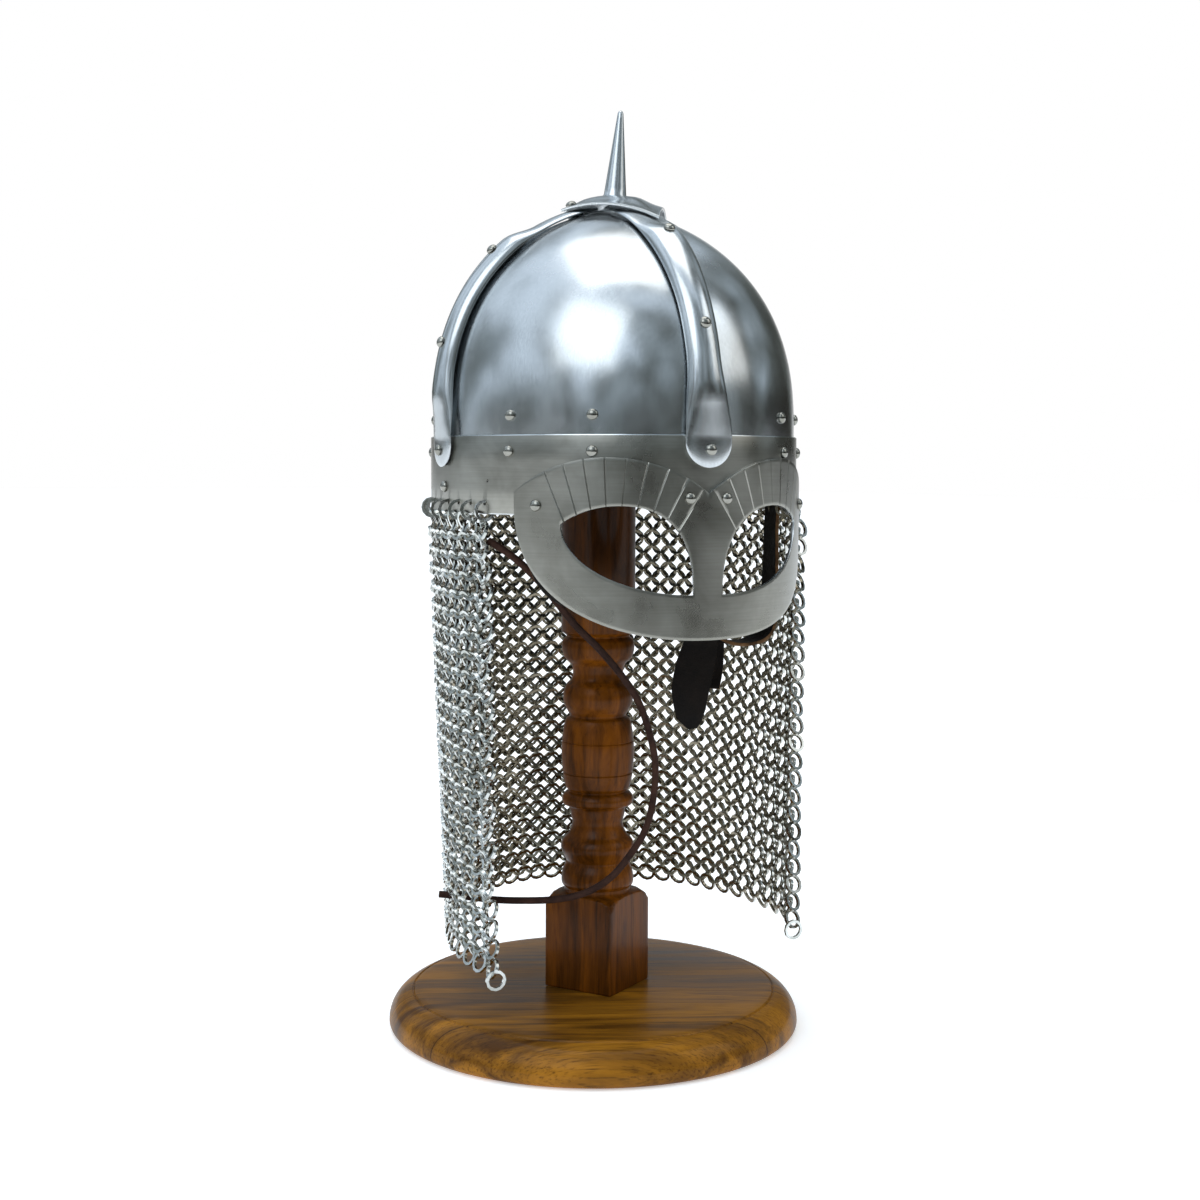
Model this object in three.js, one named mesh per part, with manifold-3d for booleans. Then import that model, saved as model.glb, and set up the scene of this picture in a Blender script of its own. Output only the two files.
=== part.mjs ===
// Spectacle helmet with a mail curtain, resting on a turned wooden stand.
// Millimetres, +Z up. The wearer looks along -Y and the wearer's left is +X.
// The origin is the centre of the stand disc's underside.
import * as THREE from "three";
import { mergeVertices } from "three/addons/utils/BufferGeometryUtils.js";
import Module from "manifold-3d";

const wasm = await Module();
wasm.setup();

// Stand
const DISC_RADIUS = 120;
const DISC_THICKNESS = 22;
const DISC_ROUND_WIDTH = 19; // how far the rounded rim reaches in from the edge
const DISC_ROUND_DROP = 17.8;
const DISC_FOOT_ROUND = 4;
const GROOVE_RADIUS = 105.8;
const GROOVE_DEPTH = 0.8;
const GROOVE_WIDTH = 1.8;
const POST_AT = { x: 2.4, y: 0 };
const BLOCK_SIDE = 44.2;
const BLOCK_HEIGHT = 56;
const BLOCK_TURN = -10.8; // degrees from an edge-on stance to the front
const BLOCK_SHOULDER = 8; // height over which the block's corners are turned round
const POST_RADIUS = 21.5;

// Helmet shell
const HELMET_AT = { x: 9, y: -3 };
const BROW_LEVEL = 343.4; // height of the brow band's top edge above the floor
const HALF_LENGTH = 117.3; // outside of the brow band, front to back
const HALF_WIDTH = 102.2; // outside of the brow band, side to side
const DOME_RISE = 128.8; // crown of the bowl above the brow band's top edge
const DOME_ROUND_POWER = 1.7; // below 2 the crown is a little peaked
const DOME_RISE_POWER = 2.52; // above 2 the sides stand up straighter
const BAND_HEIGHT = 42.4;
const BAND_WALL = 1.2;
const BOWL_WALL = 1.5;
const BOWL_TUCK = 18; // how far the bowl reaches down inside the band
const SEAT_GAP = 0.3;
const ROUND_STEPS = 48;
const DOME_STEPS = 12;

// Ribs and finial
const RIB_WALL = 1.5;
const RIB_GAP = 0.45; // under the rib's edges
const RIB_CROWN = 7; // height of the rib's crest above its edges
const RIB_TOP_CROWN = 2.6; // flattened under the finial plate
const RIB_END_CROWN = 1.5; // and over the brow band
const RIB_FRONT_DRIFT = -1.5; // the front rib runs a little to the wearer's right
const RIB_HALF_WIDTH = 9.3;
const RIB_TOP_HALF_WIDTH = 11;
const RIB_END_HALF_WIDTH = 13.2;
const RIB_TAIL = 17.2; // how far the rounded end hangs below the band's top edge
const RIB_TOP_START = 15; // clear distance from the finial's axis
const FINIAL_OFFSET = { x: 1.2, y: 0 }; // the finial sits a little left of the middle
const PLATE_HALF_LENGTH = 54;
const PLATE_HALF_WIDTH = 31;
const PLATE_WALL = 1.5;
const PLATE_PEAK = 2.6; // rise of the plate's middle towards the spike
const PLATE_RIVETS = [
  { side: "left", turn: 90, share: 0.43, through: ["finial_plate", "bowl"] },
  { side: "right", turn: -90, share: 0.8, through: ["finial_plate", "rib_right", "bowl"] },
];
const SPIKE_HEIGHT = 50;
const SPIKE_BASE_RADIUS = 7.1;
const SPIKE_TIP_RADIUS = 1.5;
const SPIKE_LEAN = 3.7; // degrees
const SPIKE_LEAN_BEARING = -25; // degrees from the wearer's left towards the front
const SPIKE_TANG_RADIUS = 3;

// Rivets
const RIVET_HEAD_RADIUS = 3.15;
const RIVET_HEAD_HEIGHT = 2.5;
const RIVET_SHANK_RADIUS = 1.4;
const RIVET_TAIL = 1.2; // length of shank left inside
const RIVET_SIDES = 8;
const HOLE_SIDES = 6;
const HOLE_RADIUS = 2;
const UPPER_ROW_RISE = 10; // above the band's top edge
const LOWER_ROW_DROP = 8.8;
const ROW_ANGLES = [34, 59.5]; // from the front and, mirrored, from the back
// Down each rib, as shares of the quarter turn from the crown, with the last over the band
const RIB_RIVET_DOWNS = {
  front: [0.45, 0.78, 1.46],
  left: [0.505, 0.808, 1.46],
  back: [0.45, 0.78, 1.46],
  right: [0.505, 0.808, 1.46],
};

// Visor
const VISOR_WALL = 1.5;
const VISOR_HALF_SPAN = 106.3; // along the curved band
const VISOR_NOTCH_DROP = 30.5; // middle notch of the top edge, below the band's top edge
const VISOR_LOBE_DROP = 12; // highest point of each brow lobe
const VISOR_CORNER_DROP = 36;
const VISOR_CHIN_DROP = 107;
const VISOR_POWER = 2.2;
const VISOR_STEPS = 15;
const EYE = {
  inner: 8.3,
  outer: 78.4,
  peak: 47.5,
  peakDrop: 37,
  tipDrop: 46.7,
  floorDrop: 83.3,
  innerPower: 2.4,
  floorPower: 1.95,
};
const EYE_STEPS = 7;
const VISOR_RIVETS = [
  { side: "outer", angle: 50, drop: 37.2 },
  { side: "inner", angle: 5.9, drop: 33 },
];

// Mail curtain
const MAIL_INNER_OFFSET = -2.4; // from the outside of the brow band
const MAIL_OUTER_OFFSET = 2;
const MAIL_TOP_DROP = 43;
const MAIL_ROUND_STEPS = 30;
const MAIL_DOWN_STEPS = 3;

// Leather
const LEATHER_WALL = 2;
const STRAP_WIDTH = 19;
const SIDE_RIVETS = [
  { side: "left", angle: 80, drop: 28 },
  { side: "right", angle: -90, drop: 28 },
];
const THONG_DIAMETER = 4;
const THONG_SIDES = 8;
const THONG_STEPS = 36;
const THONG_HOLE_RADIUS = 4;

// Turned profile of the post: height above the disc and radius as a share of POST_RADIUS
const POST_TURNING = [
  { height: 52, share: 0.9 },
  { height: 58.5, share: 0.9 },
  { height: 60.5, share: 0.975 },
  { height: 64, share: 0.985 },
  { height: 68.5, share: 0.95 },
  { height: 73.4, share: 0.86 },
  { height: 76, share: 0.9 },
  { height: 81.8, share: 1.0 },
  { height: 86, share: 0.95 },
  { height: 90, share: 0.79 },
  { height: 95.8, share: 0.69 },
  { height: 101, share: 0.73 },
  { height: 106.2, share: 0.79 },
  { height: 107.5, share: 0.93 },
  { height: 111, share: 0.975 },
  { height: 114, share: 0.9 },
  { height: 115.5, share: 0.8 },
  { height: 118, share: 0.88 },
  { height: 125.5, share: 0.95 },
  { height: 137.7, share: 0.99 },
  { height: 148, share: 0.965 },
  { height: 157, share: 0.88 },
  { height: 159.6, share: 0.765 },
  { height: 162.5, share: 0.83 },
  { height: 167, share: 0.93 },
  { height: 172, share: 0.945 },
  { height: 177, share: 0.87 },
  { height: 181, share: 0.72 },
  { height: 185.6, share: 0.685 },
  { height: 190, share: 0.74 },
  { height: 194, share: 0.92 },
  { height: 199.6, share: 0.985 },
  { height: 204, share: 0.95 },
  { height: 206.5, share: 0.86 },
  { height: 209, share: 1.0 },
];

// How the mail hangs, by the angle from the front round the wearer's right and the back: how
// far its top and its foot stand out from the brow band, and how low its foot is
const MAIL_DRAPE = [
  { angle: 66.5, top: 0, foot: -4.8, drop: 298 },
  { angle: 105, top: 0, foot: -9, drop: 292 },
  { angle: 125, top: 0, foot: -11, drop: 287 },
  { angle: 180, top: 0, foot: -8.4, drop: 284 },
  { angle: 235, top: 0, foot: -8.4, drop: 284 },
  { angle: 260, top: 1.5, foot: -5, drop: 285 },
  { angle: 293.5, top: 5.5, foot: 4, drop: 289 },
];

// Chin strap, from the wearer's right behind the visor to the wearer's left, measured from
// the helmet's axis and the band's top edge; bearing is the direction of the strap's width
const STRAP_ROUTE = [
  { x: -75.5, y: -73, z: -24, bearing: -53.8 },
  { x: -75.2, y: -72.7, z: -48, bearing: -53.8 },
  { x: -71.5, y: -70, z: -70, bearing: -54 },
  { x: -60, y: -69, z: -86, bearing: -58 },
  { x: -42, y: -61.5, z: -94, bearing: -64 },
  { x: -15, y: -48, z: -101, bearing: -68 },
  { x: 8, y: -29.5, z: -107, bearing: -72 },
  { x: 27.1, y: -24.3, z: -111.4, bearing: -97 },
  { x: 45.4, y: -33.5, z: -112, bearing: -115 },
  { x: 60, y: -39.3, z: -118, bearing: -102 },
  { x: 79, y: -35.5, z: -115, bearing: -86 },
  { x: 91.5, y: -25, z: -98, bearing: -90 },
  { x: 95.3, y: -20.3, z: -75, bearing: -96 },
  { x: 96.1, y: -19.6, z: -50, bearing: -98.7 },
  { x: 97.6, y: -19.9, z: -21, bearing: -98.7 },
];

// Chin tab folded over the strap: along its length, with its half width at each row
const TAB_ROUTE = [
  { x: 54.1, y: -25.3, z: -146, bearing: -25, half: 4 },
  { x: 55.9, y: -23.3, z: -134, bearing: -25, half: 5.5 },
  { x: 55, y: -23.3, z: -118, bearing: -25, half: 7 },
  { x: 54.7, y: -23.7, z: -111.6, bearing: -25, half: 7.6 },
  { x: 52.7, y: -25.9, z: -109, bearing: -25, half: 8 },
  { x: 45.4, y: -33.5, z: -109.3, bearing: -25, half: 8.4 },
  { x: 38.1, y: -41.2, z: -109, bearing: -25, half: 8.8 },
  { x: 36.1, y: -43.3, z: -111.6, bearing: -25, half: 9 },
  { x: 35.8, y: -43.7, z: -118, bearing: -25, half: 9.6 },
  { x: 32.6, y: -43.7, z: -130, bearing: -25, half: 11 },
  { x: 29.6, y: -43.9, z: -143, bearing: -25, half: 10.8 },
  { x: 29.6, y: -43.8, z: -155, bearing: -25, half: 8.8 },
  { x: 31.1, y: -43.3, z: -162, bearing: -25, half: 5.5 },
  { x: 32.1, y: -42.8, z: -165.5, bearing: -25, half: 2 },
];

// Leather thong: the cord's route, in the part's own frame
const THONG_ROUTE = [
  [-82.4, -41.6, 286.6],
  [-75.3, -47.8, 281.2],
  [-64.2, -50.7, 271.9],
  [-50.9, -52.5, 257.6],
  [-36.1, -52.8, 240.3],
  [-21.1, -53.1, 225.9],
  [-6.4, -54.4, 208.7],
  [2.5, -55.3, 194.4],
  [9, -55, 177.1],
  [12.6, -54.7, 159.8],
  [12.1, -53.1, 139.7],
  [8.1, -51.3, 122.6],
  [0, -48.6, 108.5],
  [-11, -45.7, 95.8],
  [-24.6, -41.6, 87.7],
  [-40.2, -35.4, 84.2],
  [-55.4, -19.6, 81.5],
  [-66.8, -7.6, 80.5],
  [-75.8, 2.6, 80.4],
  [-84, 8.6, 81],
  [-92.5, 11, 82],
];

const radians = THREE.MathUtils.degToRad;
const mix = THREE.MathUtils.lerp;
const smooth = THREE.MathUtils.smoothstep;
const V = (x, y, z) => new THREE.Vector3(x, y, z);

// A closed skin built triangle by triangle, with shared corners and no empty triangles.
class Skin {
  constructor() {
    this.index = new Map();
    this.corners = [];
    this.triangles = [];
  }

  corner(p) {
    const key = [p.x, p.y, p.z].map((v) => Math.round(v * 2000)).join(",");
    if (!this.index.has(key)) {
      this.index.set(key, this.corners.length / 3);
      this.corners.push(p.x, p.y, p.z);
    }
    return this.index.get(key);
  }

  triangle(a, b, c) {
    const face = [this.corner(a), this.corner(b), this.corner(c)];
    if (new Set(face).size === 3) this.triangles.push(...face);
  }

  quad(a, b, c, d) {
    this.triangle(a, b, c);
    this.triangle(a, c, d);
  }

  geometry() {
    const geometry = new THREE.BufferGeometry();
    geometry.setAttribute("position", new THREE.Float32BufferAttribute(this.corners, 3));
    geometry.setIndex(this.triangles);
    return geometry;
  }
}

// A wall between two grids of points, outer[row][column] and inner[row][column]. Rows run
// down and columns run so that the outer side faces away from the inner one.
function wall(outer, inner, closed) {
  const skin = new Skin();
  const rows = outer.length - 1;
  const columns = outer[0].length;
  const last = closed ? columns : columns - 1;
  for (let j = 0; j < last; j += 1) {
    const k = (j + 1) % columns;
    for (let i = 0; i < rows; i += 1) {
      skin.quad(outer[i][j], outer[i + 1][j], outer[i + 1][k], outer[i][k]);
      skin.quad(inner[i][j], inner[i][k], inner[i + 1][k], inner[i + 1][j]);
    }
    skin.quad(outer[0][j], outer[0][k], inner[0][k], inner[0][j]);
    skin.quad(outer[rows][k], outer[rows][j], inner[rows][j], inner[rows][k]);
  }
  if (!closed) {
    for (let i = 0; i < rows; i += 1) {
      skin.quad(outer[i][0], inner[i][0], inner[i + 1][0], outer[i + 1][0]);
      skin.quad(outer[i][last], outer[i + 1][last], inner[i + 1][last], inner[i][last]);
    }
  }
  return skin.geometry();
}

function toSolid(geometry) {
  const bare = geometry.clone();
  bare.deleteAttribute("normal");
  bare.deleteAttribute("uv");
  const merged = mergeVertices(bare, 1e-4);
  return new wasm.Manifold(
    new wasm.Mesh({
      numProp: 3,
      vertProperties: new Float32Array(merged.attributes.position.array),
      triVerts: new Uint32Array(merged.index.array),
    })
  );
}

function toGeometry(solid) {
  const mesh = solid.getMesh();
  const geometry = new THREE.BufferGeometry();
  geometry.setAttribute("position", new THREE.BufferAttribute(mesh.vertProperties, 3));
  geometry.setIndex(new THREE.BufferAttribute(mesh.triVerts, 1));
  return geometry;
}

function finish(color, roughness, metalness) {
  return { color, roughness, metalness };
}

const STEEL = finish(0xb9bfc2, 0.32, 1);
const BAND_STEEL = finish(0xa9adac, 0.38, 1);
const RIVET_STEEL = finish(0xc4c8ca, 0.28, 1);
const MAIL_STEEL = finish(0xaeb1b0, 0.35, 1);
const THONG_LEATHER = finish(0x3a2620, 0.75, 0);
const STRAP_LEATHER = finish(0x17130f, 0.6, 0);
const POST_WOOD = finish(0x5e2f12, 0.35, 0);
const DISC_WOOD = finish(0x8a5a22, 0.4, 0);

const helmet = new THREE.Group();
helmet.position.set(HELMET_AT.x, HELMET_AT.y, BROW_LEVEL);
const stand = new THREE.Group();
const part = new THREE.Group();
part.add(helmet, stand);

function add(group, name, geometry, look) {
  const mesh = new THREE.Mesh(geometry, new THREE.MeshStandardMaterial(look));
  mesh.name = name;
  group.add(mesh);
  return mesh;
}

// The brow band's oval at an offset outwards; the angle is 0 at the front, + to the left.
function oval(angle, offset, z) {
  const turn = radians(angle);
  const x = (HALF_WIDTH + offset) * Math.sin(turn);
  const y = -(HALF_LENGTH + offset) * Math.cos(turn);
  return V(x, y, z);
}

function ovalNormal(angle) {
  const turn = radians(angle);
  return V(Math.sin(turn) / HALF_WIDTH, -Math.cos(turn) / HALF_LENGTH, 0).normalize();
}

const BOWL_OFFSET = -BAND_WALL - SEAT_GAP;

// The nearest point of the bowl's outer face under a rough point, with its outward normal.
function bowlSeat(rough) {
  const a = HALF_WIDTH + BOWL_OFFSET;
  const b = HALF_LENGTH + BOWL_OFFSET;
  const h = DOME_RISE;
  const round = Math.hypot(rough.x / a, rough.y / b);
  if (rough.z <= 0) {
    const at = V(rough.x / round, rough.y / round, rough.z);
    return { at, normal: V(at.x / a ** 2, at.y / b ** 2, 0).normalize() };
  }
  let [inside, outside] = [0.5, 2];
  for (let i = 0; i < 40; i += 1) {
    const size = (inside + outside) / 2;
    const swell = (round / size) ** DOME_ROUND_POWER + (rough.z / h / size) ** DOME_RISE_POWER;
    if (swell > 1) inside = size;
    else outside = size;
  }
  const at = rough.clone().divideScalar(outside);
  const rho = Math.max(Math.hypot(at.x / a, at.y / b), 1e-6);
  const pull = DOME_ROUND_POWER * rho ** (DOME_ROUND_POWER - 2);
  const push = (DOME_RISE_POWER * (at.z / h) ** (DOME_RISE_POWER - 1)) / h;
  const normal = V((pull * at.x) / a ** 2, (pull * at.y) / b ** 2, push);
  return { at, normal: normal.normalize() };
}

// Height of the bowl, shrunk by a wall, over a point on the plan.
function domeHeight(x, y, inset) {
  const half = HALF_WIDTH + BOWL_OFFSET - inset;
  const reach = HALF_LENGTH + BOWL_OFFSET - inset;
  const round = Math.hypot(x / half, y / reach) ** DOME_ROUND_POWER;
  return (DOME_RISE - inset) * (1 - round) ** (1 / DOME_RISE_POWER);
}

function lift(seat, offset) {
  return seat.at.clone().addScaledVector(seat.normal, offset);
}

// A ring of the bowl at a share of the quarter turn from the crown, shrunk by a wall.
function bowlRing(share, inset) {
  const lean = radians(90 * share);
  const round = Math.sin(lean) ** (2 / DOME_ROUND_POWER);
  const rise = Math.cos(lean) ** (2 / DOME_RISE_POWER);
  const ring = [];
  for (let j = 0; j < ROUND_STEPS; j += 1) {
    const p = oval((360 * j) / ROUND_STEPS, BOWL_OFFSET - inset, (DOME_RISE - inset) * rise);
    ring.push(V(p.x * round, p.y * round, p.z));
  }
  return ring;
}

function bowlGeometry() {
  const outer = [];
  const inner = [];
  for (let i = 0; i <= DOME_STEPS; i += 1) {
    outer.push(bowlRing(i / DOME_STEPS, 0));
    inner.push(bowlRing(i / DOME_STEPS, BOWL_WALL));
  }
  outer.push(outer[DOME_STEPS].map((p) => V(p.x, p.y, -BOWL_TUCK)));
  inner.push(inner[DOME_STEPS].map((p) => V(p.x, p.y, -BOWL_TUCK)));
  return wall(outer, inner, true);
}

function bandGeometry() {
  const ring = (offset, z) =>
    Array.from({ length: ROUND_STEPS }, (_, j) => oval((360 * j) / ROUND_STEPS, offset, z));
  const outer = [ring(0, 0), ring(0, -BAND_HEIGHT)];
  const inner = [ring(-BAND_WALL, 0), ring(-BAND_WALL, -BAND_HEIGHT)];
  return wall(outer, inner, true);
}

const SIDES = {
  front: { x: 0, y: -1 },
  left: { x: 1, y: 0 },
  back: { x: 0, y: 1 },
  right: { x: -1, y: 0 },
};

function ribHalfWidth(z) {
  if (z < 0) {
    const centre = RIB_END_HALF_WIDTH - RIB_TAIL;
    const drop = Math.min(Math.max(centre - z, 0), RIB_END_HALF_WIDTH);
    return Math.sqrt(Math.max(RIB_END_HALF_WIDTH ** 2 - drop ** 2, 0.8));
  }
  const waist = DOME_RISE * 0.32;
  if (z < waist) return mix(RIB_END_HALF_WIDTH, RIB_HALF_WIDTH, smooth(z, 0, waist));
  return mix(RIB_HALF_WIDTH, RIB_TOP_HALF_WIDTH, smooth(z, DOME_RISE * 0.5, DOME_RISE * 0.9));
}

// A point of a rib: down is 0 at the finial, 1 at the band's top edge and more below it;
// across runs from -1 to 1 over the rib's width.
function ribSeat(side, down, across) {
  const way = SIDES[side];
  const reach = way.x ? HALF_WIDTH + BOWL_OFFSET : HALF_LENGTH + BOWL_OFFSET;
  const lean = radians(90 * Math.min(down, 1));
  const round = Math.sin(lean) ** (2 / DOME_ROUND_POWER);
  const rise = Math.cos(lean) ** (2 / DOME_RISE_POWER);
  const z = down <= 1 ? DOME_RISE * rise : -(down - 1) * RIB_TAIL;
  const drift = side === "front" ? RIB_FRONT_DRIFT * smooth(z, 0, DOME_RISE * 0.3) : 0;
  const half = ribHalfWidth(z) * across;
  const rough = V(
    way.x * reach * round - way.y * half + drift,
    way.y * reach * round + way.x * half,
    z
  );
  const seat = bowlSeat(rough);
  const step = RIB_GAP + (BAND_WALL + SEAT_GAP) * (1 - smooth(z, 1, 9));
  const lower = mix(RIB_END_CROWN, RIB_CROWN, smooth(z, -RIB_TAIL * 0.22, DOME_RISE * 0.1));
  const crown = mix(lower, RIB_TOP_CROWN, smooth(z, DOME_RISE * 0.8, DOME_RISE * 0.89));
  seat.under = step + crown * Math.sqrt(Math.max(1 - across ** 2, 0));
  return seat;
}

const RIB_TAIL_DOWNS = [1.25, 1.5, 1.72, 1.89, 2];
const RIB_ACROSS = [-1, -0.86, -0.5, 0, 0.5, 0.86, 1];

function ribStart(side) {
  const way = SIDES[side];
  const reach = way.x ? HALF_WIDTH + BOWL_OFFSET : HALF_LENGTH + BOWL_OFFSET;
  const drift = way.x * FINIAL_OFFSET.x + way.y * FINIAL_OFFSET.y;
  const share = (RIB_TOP_START + drift) / reach;
  return Math.asin(share ** (DOME_ROUND_POWER / 2)) / radians(90);
}

function ribGeometry(side) {
  const outer = [];
  const inner = [];
  const start = ribStart(side);
  const rings = Array.from({ length: DOME_STEPS + 1 }, (_, i) => i / DOME_STEPS);
  const downs = [start, ...rings.filter((down) => down > start + 0.03), 0.97, ...RIB_TAIL_DOWNS];
  downs.sort((a, b) => a - b);
  for (const down of downs) {
    outer.push(RIB_ACROSS.map((s) => {
      const seat = ribSeat(side, down, s);
      return lift(seat, seat.under + RIB_WALL);
    }));
    inner.push(RIB_ACROSS.map((s) => {
      const seat = ribSeat(side, down, s);
      return lift(seat, seat.under);
    }));
  }
  return wall(outer, inner, false);
}

// The finial plate: a four-cornered lozenge that follows the crown over the ribs.
const PLATE_LIFT = RIB_GAP + RIB_TOP_CROWN + RIB_WALL + 2 * RIB_GAP;
const PLATE_TURNS = [0, 180].flatMap((half) =>
  [0, 9, 22.5, 45, 90, 135, 157.5, 171].map((turn) => half + turn));

function plateSeat(turn, share) {
  const across = Math.abs(Math.sin(turn)) / PLATE_HALF_WIDTH;
  const along = Math.abs(Math.cos(turn)) / PLATE_HALF_LENGTH;
  const reach = share / (across + along);
  const x = FINIAL_OFFSET.x + reach * Math.sin(turn);
  const y = FINIAL_OFFSET.y - reach * Math.cos(turn);
  const seat = bowlSeat(V(x, y, domeHeight(x, y, 0)));
  seat.under = PLATE_LIFT + PLATE_PEAK * (1 - share) ** 2;
  return seat;
}

function plateGeometry() {
  const outer = [];
  const inner = [];
  for (const share of [0, 0.2, 0.45, 0.72, 1]) {
    const seats = PLATE_TURNS.map((turn) => plateSeat(radians(turn), share));
    outer.push(seats.map((seat) => lift(seat, seat.under + PLATE_WALL)));
    inner.push(seats.map((seat) => lift(seat, seat.under)));
  }
  return wall(outer, inner, true);
}

const finialSeat = plateSeat(0, 0);
const finialTop = lift(finialSeat, finialSeat.under + PLATE_WALL);

function spikeMesh() {
  const tang = DOME_RISE - BOWL_WALL - finialTop.z;
  const profile = [
    [0, tang],
    [SPIKE_TANG_RADIUS, tang],
    [SPIKE_TANG_RADIUS, SEAT_GAP],
    [SPIKE_BASE_RADIUS, SEAT_GAP],
    [SPIKE_BASE_RADIUS - 0.4, 3],
    [mix(SPIKE_BASE_RADIUS, SPIKE_TIP_RADIUS, 0.5), SPIKE_HEIGHT * 0.46],
    [SPIKE_TIP_RADIUS, SPIKE_HEIGHT - 1],
    [SPIKE_TIP_RADIUS * 0.5, SPIKE_HEIGHT],
    [0, SPIKE_HEIGHT],
  ].map(([r, z]) => new THREE.Vector2(r, z));
  const mesh = add(helmet, "spike", new THREE.LatheGeometry(profile, 16), STEEL);
  mesh.position.copy(finialTop);
  mesh.quaternion.setFromUnitVectors(V(0, 1, 0), spikeAxis());
  return mesh;
}

function spikeAxis() {
  const lean = radians(SPIKE_LEAN);
  const bearing = radians(SPIKE_LEAN_BEARING);
  const side = Math.sin(lean);
  return V(side * Math.cos(bearing), side * Math.sin(bearing), Math.cos(lean));
}

// Visor outline, along the band from the nose to an outer corner, heights below the band top.
const bandOffset = SEAT_GAP;
const lobeChord = VISOR_HALF_SPAN / 2;
const lobeSag = VISOR_NOTCH_DROP - VISOR_LOBE_DROP;
const lobeRadius = (lobeChord ** 2 + lobeSag ** 2) / (2 * lobeSag);

function visorTop(s) {
  return -VISOR_LOBE_DROP - lobeRadius + Math.sqrt(lobeRadius ** 2 - (s - lobeChord) ** 2);
}

function visorBottom(s) {
  const share = Math.min(s / VISOR_HALF_SPAN, 1);
  const fall = (1 - share ** VISOR_POWER) ** (1 / VISOR_POWER);
  return -VISOR_CORNER_DROP - (VISOR_CHIN_DROP - VISOR_CORNER_DROP) * fall;
}

// Angle on the band at a length s along it from the front.
const OVAL_TABLE = (() => {
  const table = [0];
  for (let angle = 1; angle <= 180; angle += 1) {
    const step = oval(angle, bandOffset, 0).distanceTo(oval(angle - 1, bandOffset, 0));
    table.push(table[angle - 1] + step);
  }
  return table;
})();

function angleAt(s) {
  const length = Math.abs(s);
  let angle = 1;
  while (OVAL_TABLE[angle] < length) angle += 1;
  const share = (length - OVAL_TABLE[angle - 1]) / (OVAL_TABLE[angle] - OVAL_TABLE[angle - 1]);
  return Math.sign(s) * (angle - 1 + share);
}

function onVisor(s, z, offset) {
  const angle = angleAt(s);
  return oval(angle, 0, z).addScaledVector(ovalNormal(angle), bandOffset + offset);
}

function visorBlank() {
  const stations = [];
  for (let i = -VISOR_STEPS; i <= VISOR_STEPS; i += 1) {
    stations.push(VISOR_HALF_SPAN * Math.sin(radians((90 * i) / VISOR_STEPS)));
  }
  const layer = (offset) =>
    [visorTop, (s) => mix(visorTop(s), visorBottom(s), 0.5), visorBottom].map((edge) =>
      stations.map((s) => onVisor(s, edge(Math.abs(s)), offset)));
  return wall(layer(VISOR_WALL), layer(0), false);
}

function eyeOutline() {
  const points = [];
  const tipArc = EYE.outer - EYE.peak;
  const tipSag = EYE.tipDrop - EYE.peakDrop;
  const tipRadius = (tipArc ** 2 + tipSag ** 2) / (2 * tipSag);
  for (let i = 0; i < EYE_STEPS; i += 1) {
    const turn = radians((90 * i) / EYE_STEPS);
    const across = (EYE.peak - EYE.inner) * Math.cos(turn) ** (2 / EYE.innerPower);
    const rise = (EYE.floorDrop - EYE.peakDrop) * Math.sin(turn) ** (2 / EYE.innerPower);
    points.push([EYE.peak - across, -EYE.floorDrop + rise]);
  }
  for (let i = 0; i < 4; i += 1) {
    const s = EYE.peak + (tipArc * i) / 4;
    const z = -EYE.peakDrop - tipRadius + Math.sqrt(tipRadius ** 2 - (s - EYE.peak) ** 2);
    points.push([s, z]);
  }
  for (let i = 0; i < EYE_STEPS; i += 1) {
    const turn = radians((90 * i) / EYE_STEPS);
    const across = (EYE.outer - EYE.inner) * Math.cos(turn) ** (2 / EYE.floorPower);
    const fall = (EYE.floorDrop - EYE.tipDrop) * Math.sin(turn) ** (2 / EYE.floorPower);
    points.push([EYE.inner + across, -EYE.tipDrop - fall]);
  }
  return points;
}

// A plug through the visor with the eye's outline, square to the curved plate.
function eyeCutter(mirror) {
  const outline = eyeOutline();
  const flat = outline.map(([s, z]) => new THREE.Vector2(s, z));
  const caps = THREE.ShapeUtils.triangulateShape(flat, []);
  const reach = 14;
  const near = outline.map(([s, z]) => onVisor(mirror * s, z, -reach));
  const far = outline.map(([s, z]) => onVisor(mirror * s, z, reach));
  const skin = new Skin();
  const face = (a, b, c) => (mirror > 0 ? skin.triangle(a, b, c) : skin.triangle(a, c, b));
  for (const [a, b, c] of caps) {
    const [p, q] = THREE.ShapeUtils.isClockWise([flat[a], flat[b], flat[c]]) ? [c, b] : [b, c];
    face(far[a], far[p], far[q]);
    face(near[a], near[q], near[p]);
  }
  const clockwise = THREE.ShapeUtils.isClockWise(flat);
  for (let i = 0; i < outline.length; i += 1) {
    const k = (i + 1) % outline.length;
    const [m, n] = clockwise ? [k, i] : [i, k];
    face(near[m], near[n], far[n]);
    face(near[m], far[n], far[m]);
  }
  return skin.geometry();
}

// Rivets: each has a seat under its head, the plates it passes and the length of its shank.
function rivetGeometry(length) {
  const profile = [
    [0, -length],
    [RIVET_SHANK_RADIUS, -length],
    [RIVET_SHANK_RADIUS, 0],
    [RIVET_HEAD_RADIUS, 0],
    [RIVET_HEAD_RADIUS * 0.8, RIVET_HEAD_HEIGHT * 0.62],
    [0, RIVET_HEAD_HEIGHT],
  ].map(([r, z]) => new THREE.Vector2(r, z));
  return new THREE.LatheGeometry(profile, RIVET_SIDES);
}

function seatOnOval(angle, z, offset) {
  const normal = ovalNormal(angle);
  return { at: oval(angle, 0, z).addScaledVector(normal, offset), normal };
}

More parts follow.
